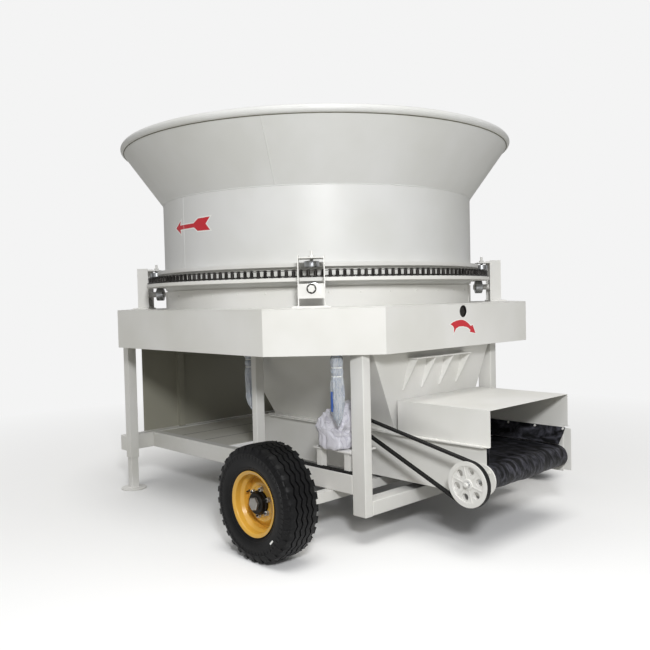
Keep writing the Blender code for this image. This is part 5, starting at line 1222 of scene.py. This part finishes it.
TO_RIGHT, TO_LEFT = turn_to((0, -1, 0)), turn_to((0, 1, 0))
on_right = {"middle": (DRUM_X, -BEARING_Y, DRUM_Z), "turn": TO_RIGHT}
on_left = (DRUM_X, BEARING_Y, DRUM_Z)
turned_piece("drum_bearing_right", BEARING_LINE, ENAMEL, **on_right, facets=64, smooth_angle=35)
around("bearing_bolts_right", hex_head(0.019, 0.010, washer=0.014), 4, 0.080, ENAMEL, first=45.0,
       height=0.0098, slot="bright_steel", **on_right)
around("end_plate_left", broken_edges(prism(END_PLATE, 0.0, END_PLATE_THICKNESS), 0.0012), 1, 0.0,
       ENAMEL, middle=on_left, turn=(math.pi / 2, 0, math.pi))
around("bearing_bolts_left", hex_head(0.019, 0.010, washer=0.014), 4, 0.066, ENAMEL, first=45.0,
       height=END_PLATE_THICKNESS, middle=on_left, turn=TO_LEFT, slot="bright_steel")
print("bearings at x {:.3f} m".format(DRUM_X))

# %% [markdown]
# ## The drive
#
# A cast pulley with six holes turns the drum, driven by two V-belts side by side. On the lathe it
# would have no holes, so its web is a flat curve with holes, given a thickness, and the rim with
# its two grooves and the hub are turned round it. Low ribs between the holes stiffen the casting.

# %% Pulley
pulley_low, pulley_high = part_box("drive_pulley")
PULLEY_Y = (pulley_low.y + pulley_high.y) / 2
PULLEY_R = (pulley_high.z - pulley_low.z) / 2
PULLEY_HALF = (pulley_high.y - pulley_low.y) / 2
PULLEY_AT = Vector((DRUM_X, PULLEY_Y, DRUM_Z))
SEAT_DEPTH = 0.013
GROOVE_SIDES = (0.0181, 0.0165, 0.0024, 0.0010)
RIM_INSIDE = 0.119
HOLE_CIRCLE = 0.088
HOLE_RADIUS = 0.026
HOLE_TURN = 15.0
WEB_HALF = 0.015
WEB_EDGE = 0.0015


def grooved_rim(inside, radius, half):
    """The section of a pulley rim with two grooves."""
    wide, wide_low, near_low, near = GROOVE_SIDES
    seat = radius - SEAT_DEPTH
    grooves = mirrored([(radius, wide), (seat, wide_low), (seat, near_low), (radius, near)])
    return ([(inside, -half), (inside, half), (radius - 0.001, half), (radius, half - 0.001)] + grooves
            + [(radius, -half + 0.001), (radius - 0.001, -half)])


on_pulley = {"middle": PULLEY_AT, "turn": TO_RIGHT}
turned_piece("pulley_rim", grooved_rim(RIM_INSIDE, PULLEY_R, PULLEY_HALF), ENAMEL, **on_pulley,
             **in_place_of("drive_pulley"))
turned_piece("pulley_hub", [(0.0202, -0.021), (0.036, -0.021), (0.036, 0.019), (0.033, 0.022), (0.0202, 0.022)],
             ENAMEL, **on_pulley, facets=48, **like("drive_pulley"))
web = bpy.data.curves.new("pulley_web", "CURVE")
web.dimensions = "2D"
web.fill_mode = "BOTH"
web.extrude = WEB_HALF - WEB_EDGE
web.bevel_depth = WEB_EDGE
hole_places = [(HOLE_CIRCLE * math.cos(math.radians(HOLE_TURN + 60 * k)),
                HOLE_CIRCLE * math.sin(math.radians(HOLE_TURN + 60 * k)), HOLE_RADIUS) for k in range(6)]
for x, y, radius in [(0, 0, RIM_INSIDE + 0.001), (0, 0, 0.034)] + hole_places:
    spline = web.splines.new("POLY")
    loop = ring_outline(radius, 64 if radius > 0.1 else 28)
    spline.points.add(len(loop) - 1)
    for point, (across, up) in zip(spline.points, loop):
        point.co = (x + across, y + up, 0, 1)
    spline.use_cyclic_u = True
web_mesh = evaluated(shown("pulley_web_work", web), "pulley_web", 40)
web_mesh.materials.clear()
web_mesh.transform(Matrix.Translation(PULLEY_AT) @ TO_RIGHT.to_matrix().to_4x4())
outward(web_mesh)
piece("pulley_web", web_mesh, ENAMEL, **like("drive_pulley"))
rib = prism([(-0.042, -0.003), (0.0425, -0.003), (0.0425, 0.003), (-0.042, 0.003)], 0.0, 0.0045)
around("pulley_ribs", rib, 6, 0.077, ENAMEL, first=HOLE_TURN + 30, height=WEB_HALF - 0.0005, **on_pulley,
       **like("drive_pulley"))
around("shaft_bolt", hex_head(0.026, 0.010, washer=0.019), 1, 0.0, ENAMEL, BODY_OF["drive_pulley"],
       height=PULLEY_HALF + 0.0102, slot="bright_steel", **on_pulley)
print("pulley radius {:.3f} m".format(PULLEY_R))

# %% Two V-belts and the motor's pulley
vbelt_low, vbelt_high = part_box("v_belt")
BIG_OUTER = vbelt_high.x - DRUM_X
SMALL_R = 0.050
SMALL_OUTER = SMALL_R + BIG_OUTER - PULLEY_R
MOTOR_Z = 0.775
MOTOR_AT = Vector((vbelt_low.x + SMALL_OUTER, PULLEY_Y, MOTOR_Z))
V_BELTS = (0.0096, -0.0096)              # their middles, from the pulley's
V_SECTION = [(0.0, 0.0073), (0.001, 0.0076), (0.016, 0.0056)]   # depth and half width


def belt_line(depth, steps=40):
    """The open belt's line round both pulleys, so far inwards of its outer face."""
    big, small = BIG_OUTER - depth, SMALL_OUTER - depth
    span = Vector((MOTOR_AT.x - DRUM_X, MOTOR_AT.z - DRUM_Z))
    towards = math.atan2(span.y, span.x)
    lean = math.acos((big - small) / span.length)
    line = []
    for x, z, reach, first, sweep in ((DRUM_X, DRUM_Z, big, towards + lean, math.tau - 2 * lean),
                                      (MOTOR_AT.x, MOTOR_AT.z, small, towards - lean, 2 * lean)):
        for k in range(steps + 1):
            turn = first + sweep * k / steps
            line.append((x + reach * math.cos(turn), z + reach * math.sin(turn)))
    return line


belts_bm = bmesh.new()
for middle in V_BELTS:
    loops = [[belts_bm.verts.new((x, PULLEY_Y + middle + side, z)) for x, z in belt_line(depth)]
             for depth, side in mirrored(V_SECTION)]
    skin(belts_bm, loops + loops[:1], ends=False)
piece("two_v_belts", outwards_mesh(belts_bm, "two_v_belts"), V_BELT_RUBBER, **in_place_of("v_belt"))
turned_piece("motor_pulley", grooved_rim(0.018, SMALL_R, PULLEY_HALF), CAST_IRON, MOTOR_AT, TO_RIGHT, facets=48,
             slot="dark_steel")
turned_piece("motor_shaft", [(0.0, -0.024), (0.0195, -0.024), (0.0195, 0.062), (0.0, 0.062)], ZINC, MOTOR_AT,
             TO_RIGHT, facets=24, closed_line=False, slot="bright_steel")
print("shafts {:.3f} m apart".format((PULLEY_AT - MOTOR_AT).length))

# %% [markdown]
# ## The bag over the motor
#
# The motor is still in the bag that it travelled in: milky film, drawn over the round body and
# the foot, gathered behind the belt pulley and ragged along its lower hem. A bag is a loft: a
# ring that goes from round to boxy as it comes down over the foot, closed to a dome at the free
# end. Folds are ridges of noise in two sizes, sharp on top and slack between them.

# %% Motor bag
BAG_BACK = -1.004
BAG_FRONT = -0.703
BAG_BOTTOM = 0.6315
BAG_ROUND, BAG_RISE = 0.143, 0.044       # its radius, and how far it rises towards the pulley
BAG_WIDE, BAG_DEEP = 0.118, 0.146        # half sizes of its lower, boxy part
DOME_SHARE, GATHER_FROM, GATHERED = 0.09, 0.86, 0.62
RINGS, POINTS = 96, 180


def bag_reach(turn, share):
    """Distance of the film from the motor's axis; turn 0 is +X, share 0 is the free end."""
    up = math.sin(turn)
    boxy = ((abs(math.cos(turn)) / BAG_WIDE) ** 5 + (abs(up) / BAG_DEEP) ** 5) ** -0.2
    rise = BAG_RISE * min(1.0, share / 0.55) ** 1.5 * max(0.0, up) ** 4
    blend = min(1.0, max(0.0, 0.15 - up) / 0.5)
    return (BAG_ROUND + rise) * (1 - blend) + boxy * blend


def folds(place):
    """How far the film stands out in its folds at a place."""
    coarse = 1.0 - abs(2.2 * noise.noise(Vector((place.x * 7, place.y * 4, place.z * 7)) + Vector((3, 1, 4))))
    slanted = Vector((place.x * 16 + place.y * 7, place.y * 5 - place.z * 9, place.z * 15))
    fine = 1.0 - abs(2.6 * noise.noise(slanted))
    hollow = 0.020 * max(0.0, noise.noise(place * 17)) if place.y < BAG_BACK + 0.02 else 0.0
    return 0.015 * (coarse - 0.7) + 0.008 * (fine - 0.7) - hollow


bag_bm = bmesh.new()
loops = []
for step in range(RINGS + 1):
    share = step / RINGS
    y = BAG_BACK + (BAG_FRONT - BAG_BACK) * share
    dome_part = min(1.0, share / DOME_SHARE)
    closing = math.sqrt(max(0.0, 1 - (1 - dome_part) ** 2))
    if share > GATHER_FROM:
        closing *= 1.0 - GATHERED * ((share - GATHER_FROM) / (1 - GATHER_FROM)) ** 1.6
    loops.append([])
    for k in range(POINTS):
        turn = math.tau * k / POINTS
        out = Vector((math.cos(turn), 0, math.sin(turn)))
        bare = out * bag_reach(turn, share) * max(closing, 0.02) + Vector((0, y, 0))
        amount = folds(bare) * min(1.0, closing + 0.25)
        place = bare + out * amount - Vector((0, 0.6 * amount * (1 - dome_part), 0))
        hem = BAG_BOTTOM + 0.004 * noise.noise(Vector((k * 0.3, y * 40, 2.0))) ** 2
        loops[-1].append(bag_bm.verts.new((MOTOR_AT.x + place.x, place.y, max(hem, MOTOR_AT.z + place.z))))
skin(bag_bm, loops)
piece("motor_bag", outwards_mesh(bag_bm, "motor_bag", 60), MILKY_FILM, **in_place_of("conveyor_motor"))
print("bag {:.3f} m long".format(BAG_FRONT - BAG_BACK))

# %% Bolts of the motor base
base_low, base_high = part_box("motor_base")
base_top = base_high.z - 0.0003
for name, x in (("front", base_high.x - 0.025), ("rear", base_low.x + 0.025)):
    along("base_bolts_" + name, hex_head(0.018, 0.009, washer=0.014), 2, (x, base_low.y + 0.03, base_top),
          (x, base_high.y - 0.05, base_top), ENAMEL, slot="bright_steel")
print("base top at z {:.3f} m".format(base_top))

# %% [markdown]
# ## Two wrapped bundles
#
# Two bundles of dark spare hoses hang beside the legs, each in a clear film sleeve, tied twice
# and drawn to a tip below. The sleeve is a lofted thin shell with lengthwise folds, and it is
# really thin, so it stays clear, and the hoses show through at the top.

# %% Bundles
SLEEVE_LINE = ((0.0, 0.028), (0.06, 0.044), (0.12, 0.047), (0.19, 0.040), (0.24, 0.047), (0.31, 0.040),
               (0.38, 0.048), (0.60, 0.049), (0.78, 0.046), (0.90, 0.032), (1.0, 0.006))
BUNDLE_TIES = (0.19, 0.31)
TIE_LINE = [(0.0365, -0.003), (0.0405, -0.003), (0.0405, 0.003), (0.0365, 0.003)]
FILM_THICKNESS = 0.0008
HOSE_TWIST = 1.6
HOSE_APART = 0.0105
HOSE_RADIUS = 0.0086


def sleeve_radius(share):
    """The sleeve's radius at a share of its length from the top."""
    for (start, low_r), (end, high_r) in zip(SLEEVE_LINE, SLEEVE_LINE[1:]):
        if share <= end:
            return low_r + (high_r - low_r) * (share - start) / (end - start)
    return SLEEVE_LINE[-1][1]


for name in ("front", "rear"):
    node = "wrapped_bundle_" + name
    low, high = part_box(node)
    top = Vector(((low.x + high.x) / 2, (low.y + high.y) / 2, high.z))
    length = high.z - low.z
    sleeve_bm = bmesh.new()
    loops = []
    for step in range(91):
        share = step / 90
        loops.append([])
        for x, y in ring_outline(1.0, 56):
            crease = noise.noise(Vector((x * 2.6, y * 2.6, share * 3.0 + len(name))))
            wrinkle = noise.noise(Vector((x * 6, y * 6, share * 16.0)))
            reach = sleeve_radius(share) * (0.90 + 0.16 * (abs(crease) * 2 - 0.5) + 0.07 * wrinkle)
            loops[-1].append(sleeve_bm.verts.new(top + Vector((x * reach, y * reach, -share * length))))
    skin(sleeve_bm, loops)
    bmesh.ops.recalc_face_normals(sleeve_bm, faces=sleeve_bm.faces)
    sleeve = thickened(sleeve_bm, "sleeve_" + name, FILM_THICKNESS, -1.0, 60)
    piece("sleeve_" + name, sleeve, CLEAR_FILM, **in_place_of(node))
    for mark, tie in enumerate(BUNDLE_TIES):
        turned_piece("bundle_tie_{}_{}".format(name, mark), TIE_LINE, WHITE_VINYL,
                     top - Vector((0, 0, tie * length)), facets=32, **like(node))
    hose_bm = bmesh.new()
    loops = []
    for step in range(25):
        twist = HOSE_TWIST * step / 24
        x, y, z = HOSE_APART * math.cos(twist), HOSE_APART * math.sin(twist), -0.02 - 0.335 * step / 24
        loops.append([hose_bm.verts.new((x + across, y + over, z)) for across, over in ring_outline(HOSE_RADIUS, 12)])
    skin(hose_bm, loops)
    around("spare_hoses_" + name, hose_bm, 3, 0.0, DARK_HOSE, middle=top, slot="belt_rubber")
print("two bundles, {:.3f} m long".format(length))

# %% Blue tape on the front bundle
TAPE_LOW = 0.922
TAPE_WIDTH = 0.136
TAPE_FIRST, TAPE_SWEEP = 214.0, 58.0     # degrees round the bundle
front_low, front_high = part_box("wrapped_bundle_front")
front_middle = (front_low + front_high) / 2
tape_bm = bmesh.new()
columns = []
for step in range(13):
    turn = math.radians(TAPE_FIRST + TAPE_SWEEP * step / 12)
    columns.append([])
    for reach, rows in ((0.0462, range(9)), (0.0470, range(8, -1, -1))):
        for row in rows:
            ragged = reach + 0.0012 * noise.noise(Vector((step * 0.7, row * 0.9, reach * 50)))
            columns[-1].append(tape_bm.verts.new((front_middle.x + ragged * math.cos(turn),
                                                  front_middle.y + ragged * math.sin(turn),
                                                  TAPE_LOW + TAPE_WIDTH * row / 8)))
skin(tape_bm, columns)
piece("blue_tape", outwards_mesh(tape_bm, "blue_tape", 50), BLUE_TAPE, slot="clear_film")
print("tape from z {:.3f} to {:.3f} m".format(TAPE_LOW, TAPE_LOW + TAPE_WIDTH))

# %% [markdown]
# ## Two direction arrows
#
# Cut vinyl: a white arrow with a smaller red one on it. One shows which way the tub turns, the
# curved one by the shaft hole which way the rotor turns. An outline is filled, cut into narrow
# strips so that it can bend round the tub, given a thickness and laid on the sheet.

# %% Arrows
def wider(outline, by):
    """An outline grown outwards by a margin."""
    grown = []
    area = sum(a[0] * b[1] - b[0] * a[1] for a, b in zip(outline, outline[1:] + outline[:1]))
    sign = 1 if area > 0 else -1
    for k, corner in enumerate(outline):
        here_at = Vector(corner)
        first = (here_at - Vector(outline[k - 1])).normalized()
        second = (Vector(outline[(k + 1) % len(outline)]) - here_at).normalized()
        normal = Vector((first.y + second.y, -first.x - second.x)).normalized() * sign
        open_up = max(0.45, abs(Vector((first.y, -first.x)).dot(normal)))
        grown.append(tuple(here_at + normal * by / open_up))
    return grown


def sticker(name, outline, low, high, place, look, body, strip):
    """A cut film: outline in metres on its sheet, from one height over the sheet to another."""
    bm = bmesh.new()
    bm.faces.new([bm.verts.new((x, y, 0)) for x, y in outline])
    if strip:
        least = min(x for x, y in outline)
        cuts = int((max(x for x, y in outline) - least) / strip)
        for k in range(1, cuts + 1):
            bmesh.ops.bisect_plane(bm, geom=list(bm.verts) + list(bm.edges) + list(bm.faces),
                                   plane_co=(least + k * strip, 0, 0), plane_no=(1, 0, 0))
    bmesh.ops.triangulate(bm, faces=list(bm.faces))
    raised = bmesh.ops.extrude_face_region(bm, geom=list(bm.faces))
    upper = {item for item in raised["geom"] if isinstance(item, bmesh.types.BMVert)}
    for vert in bm.verts:
        vert.co = place(vert.co.x, vert.co.y, high if vert in upper else low)
    piece(name, outwards_mesh(bm, name, 40), look, body, "worn_paint")


def on_tub(x, y, height):
    """On the tub's wall: x runs round it, y up."""
    return tub_point(math.degrees(x / wall_r), wall_r + height, y)


def on_front(x, y, height):
    """On the deck's front panel: x runs along Y, y up."""
    return Vector((deck_high.x + height, x, y))


ONE_DEGREE = math.radians(1.0) * wall_r
STRAIGHT = [(ONE_DEGREE * degrees, z) for degrees, z in (
    (-99.7, 2.264), (-96.0, 2.314), (-96.5, 2.281), (-88.1, 2.281), (-85.7, 2.313), (-80.0, 2.317),
    (-82.0, 2.267), (-80.0, 2.218), (-86.0, 2.220), (-87.9, 2.250), (-96.4, 2.248), (-96.0, 2.214))]
CURVED = [(-0.163, 1.478), (-0.125, 1.493), (-0.085, 1.502), (-0.041, 1.506), (-0.010, 1.504), (0.020, 1.496),
          (0.055, 1.479), (0.090, 1.455), (0.113, 1.462), (0.150, 1.398), (0.076, 1.412), (0.084, 1.426),
          (0.062, 1.440), (0.035, 1.450), (-0.008, 1.457), (-0.055, 1.457), (-0.093, 1.445), (-0.121, 1.411),
          (-0.119, 1.448), (-0.132, 1.464)]
for name, outline, margin, place, body, strip in (
        ("turning_arrow", STRAIGHT, 0.010, on_tub, "tub", 0.02), ("rotor_arrow", CURVED, 0.008, on_front, "frame", 0)):
    sticker(name + "_white", wider(outline, margin), 0.0001, 0.0004, place, WHITE_VINYL, body, strip)
    sticker(name + "_red", outline, 0.0003, 0.0008, place, RED_VINYL, body, strip)
print("arrow on the tub {:.2f} m long".format(STRAIGHT[5][0] - STRAIGHT[0][0]))

# %% [markdown]
# ## Small things
#
# The bay floor is three sheets, with dark joints where they meet. A dark strip along the right
# rail under the motor is painted shadow, for the shade between rail and conveyor. The skirt is closed
# by two upright cover strips. A small white label sits on the right tyre. Each is a bar with broken
# edges, copied where it belongs.

# %% Joints, strips and label
def bar(x, y, z, edge):
    """A bar of that size, standing on z = 0, with broken edges."""
    return broken_edges(prism([(-x / 2, -y / 2), (x / 2, -y / 2), (x / 2, y / 2), (-x / 2, y / 2)], 0.0, z), edge)


floor_low, floor_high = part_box("bay_floor")
third = (floor_high.x - floor_low.x) / 3
along("floor_joints", bar(0.006, floor_high.y - floor_low.y - 0.02, 0.0012, 0.0003), 2,
      (floor_low.x + third, 0, floor_high.z - 0.0004), (floor_high.x - third, 0, floor_high.z - 0.0004),
      DARK_HOLLOW, slot="dark_steel")
rail_low, rail_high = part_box("rail_right")
# A dark bar on the right rail: painted shadow between rail and conveyor.
shadow_strip_ends = [(TUB_X + x, rail_low.y + 0.016, rail_high.z) for x in (0.80, 0.81)]
along("rail_strip", bar(1.02, 0.026, 0.020, 0.003), 1, *shadow_strip_ends, V_BELT_RUBBER, slot="belt_rubber")
around("skirt_covers", bar(0.006, 0.045, skirt_high - skirt_low - 0.006, 0.0015), 2, skirt_r + 0.0025, ENAMEL,
       first=-118.0, step=144.0, height=skirt_low + 0.003)
around("tyre_label", bar(0.012, 0.038, 0.0012, 0.0003), 1, 0.285, WHITE_VINYL, first=-44.0,
       height=TYRE_HALF * 0.9895 - 0.0003, **WHEEL["right"], **like("tyre_right"))
print("bay floor sheets {:.2f} m long".format(third))

# %% [markdown]
# ## Where the machine stands
#
# The photo is a cut-out on a pale ground. A large plane takes the shadows and a pale world fills
# them. The camera, mirrors and clear film see a floor as pale as the backdrop. For the light that
# bounces up under the machine the floor is mid grey, so the bay behind the legs goes dark, as it
# does on the real one.

# %% Floor and backdrop
BACKDROP = "#f4f4f4"
FADE_FROM, FADE_TO = 2.5, 7.0
bpy.ops.mesh.primitive_plane_add(size=60)
floor = bpy.context.object
floor.name = "floor"
floor_look, floor_tree, floor_shader, floor_place = material("pale_floor", 0.9)
ray = add_node(floor_tree, "ShaderNodeLightPath").outputs
seen = ray["Is Camera Ray"]
for kind in ("Is Glossy Ray", "Is Transmission Ray"):
    seen = add_node(floor_tree, "ShaderNodeMath", {"Value": seen, "Value_001": ray[kind]}, operation="MAXIMUM")
ground = add_node(floor_tree, "ShaderNodeMix", {"Factor_Float": seen, "A_Color": linear("#9c9b94"),
                                                "B_Color": linear("#f1f1f1")}, data_type="RGBA")
wire(floor_tree, floor_shader, {"Base Color": ground, "Specular IOR Level": 0.0})
# Away from the machine the ground fades into the backdrop, for the rays that see it pale.
spot = add_node(floor_tree, "ShaderNodeVectorMath", {"Vector": floor_place}, operation="LENGTH")
far = add_node(floor_tree, "ShaderNodeMapRange", {"Value": spot, "From Min": FADE_FROM, "From Max": FADE_TO})
fade = add_node(floor_tree, "ShaderNodeMath", {"Value": far, "Value_001": seen}, operation="MULTIPLY")
glow = add_node(floor_tree, "ShaderNodeEmission", {"Color": linear(BACKDROP), "Strength": 1.0})
faded = add_node(floor_tree, "ShaderNodeMixShader", {"Fac": fade, "Shader": floor_shader, "Shader_001": glow})
wire(floor_tree, floor_tree.nodes["Material Output"], {"Surface": faded})
floor.data.materials.append(floor_look)

world = bpy.data.worlds.new("pale_studio")
bpy.context.scene.world = world
world.use_nodes = True
sky = world.node_tree
sky.nodes.clear()
ray = add_node(sky, "ShaderNodeLightPath").outputs
seen = add_node(sky, "ShaderNodeMath", {"Value": ray["Is Camera Ray"], "Value_001": ray["Is Transmission Ray"]},
                operation="MAXIMUM")
fill = add_node(sky, "ShaderNodeBackground", {"Color": linear("#ffffff"), "Strength": 0.42})
behind = add_node(sky, "ShaderNodeBackground", {"Color": linear(BACKDROP), "Strength": 1.0})
either = add_node(sky, "ShaderNodeMixShader", {"Fac": seen, "Shader": fill, "Shader_001": behind})
add_node(sky, "ShaderNodeOutputWorld", {"Surface": either})
print("floor fades from {} to {} m".format(FADE_FROM, FADE_TO))

# %% [markdown]
# ## Light and camera
#
# The real machine stands in a hall, under roof lights and before a bright opening. A broad distant
# light stands for the roof. A round panel, 0.9 m across, stands for the opening: high at the
# front right, 7 m off, so near parts are brighter than far ones and the deck shades most of the
# bay. The strengths come from the shades of sheets that face three ways. The camera stands 6.6 m
# from the tub's axis at eye height, 1.7 m, at the machine's front right corner.

# %% Lamps
def lamp(name, kind, strength, colour, towards):
    """A lamp whose light falls against the direction towards, which points to the lamp."""
    data = bpy.data.lights.new(name, kind)
    data.energy = strength
    data.color = linear(colour)[:3]
    obj = shown(name, data)
    obj.rotation_euler = Vector(towards).to_track_quat("Z", "Y").to_euler()
    return obj


ROOF_SPREAD = 30.0
PANEL_WIDTH = 0.9
LIT_MIDDLE = Vector((0.3, -0.3, 1.2))
PANEL_AT = Vector((5.5, -4.7, 3.8))
roof = lamp("roof_lights", "SUN", 1.32, "#fffefb", (0.21, -0.15, 0.966))
roof.data.angle = math.radians(ROOF_SPREAD)
panel = lamp("bright_opening", "AREA", 278.0, "#fdfeff", PANEL_AT - LIT_MIDDLE)
panel.location = PANEL_AT
panel.data.shape = "DISK"
panel.data.size = PANEL_WIDTH
print("panel {:.1f} m from the machine".format((PANEL_AT - LIT_MIDDLE).length))

# %% Camera
LENS_MM = 40.9
SENSOR_MM = 36.0
CAMERA_AT = (4.5431, -4.5246, 1.6924)
HEADING, TILT, ROLL = 136.32, -2.12, -1.33
PICTURE = 650
lens = bpy.data.cameras.new("camera")
lens.lens = LENS_MM
lens.sensor_width = SENSOR_MM
lens.sensor_fit = "HORIZONTAL"
camera = shown("camera", lens)
camera.location = CAMERA_AT
camera.rotation_euler = (Matrix.Rotation(math.radians(HEADING - 90.0), 3, "Z")
                         @ Matrix.Rotation(math.radians(90.0 + TILT), 3, "X")
                         @ Matrix.Rotation(math.radians(ROLL), 3, "Z")).to_euler()
scene = bpy.context.scene
scene.camera = camera
scene.render.resolution_x = PICTURE
scene.render.resolution_y = PICTURE
scene.view_settings.view_transform = "Standard"
print("camera {:.1f} m from the tub's axis".format((Vector(CAMERA_AT[:2]) - TUB_MIDDLE.xy).length))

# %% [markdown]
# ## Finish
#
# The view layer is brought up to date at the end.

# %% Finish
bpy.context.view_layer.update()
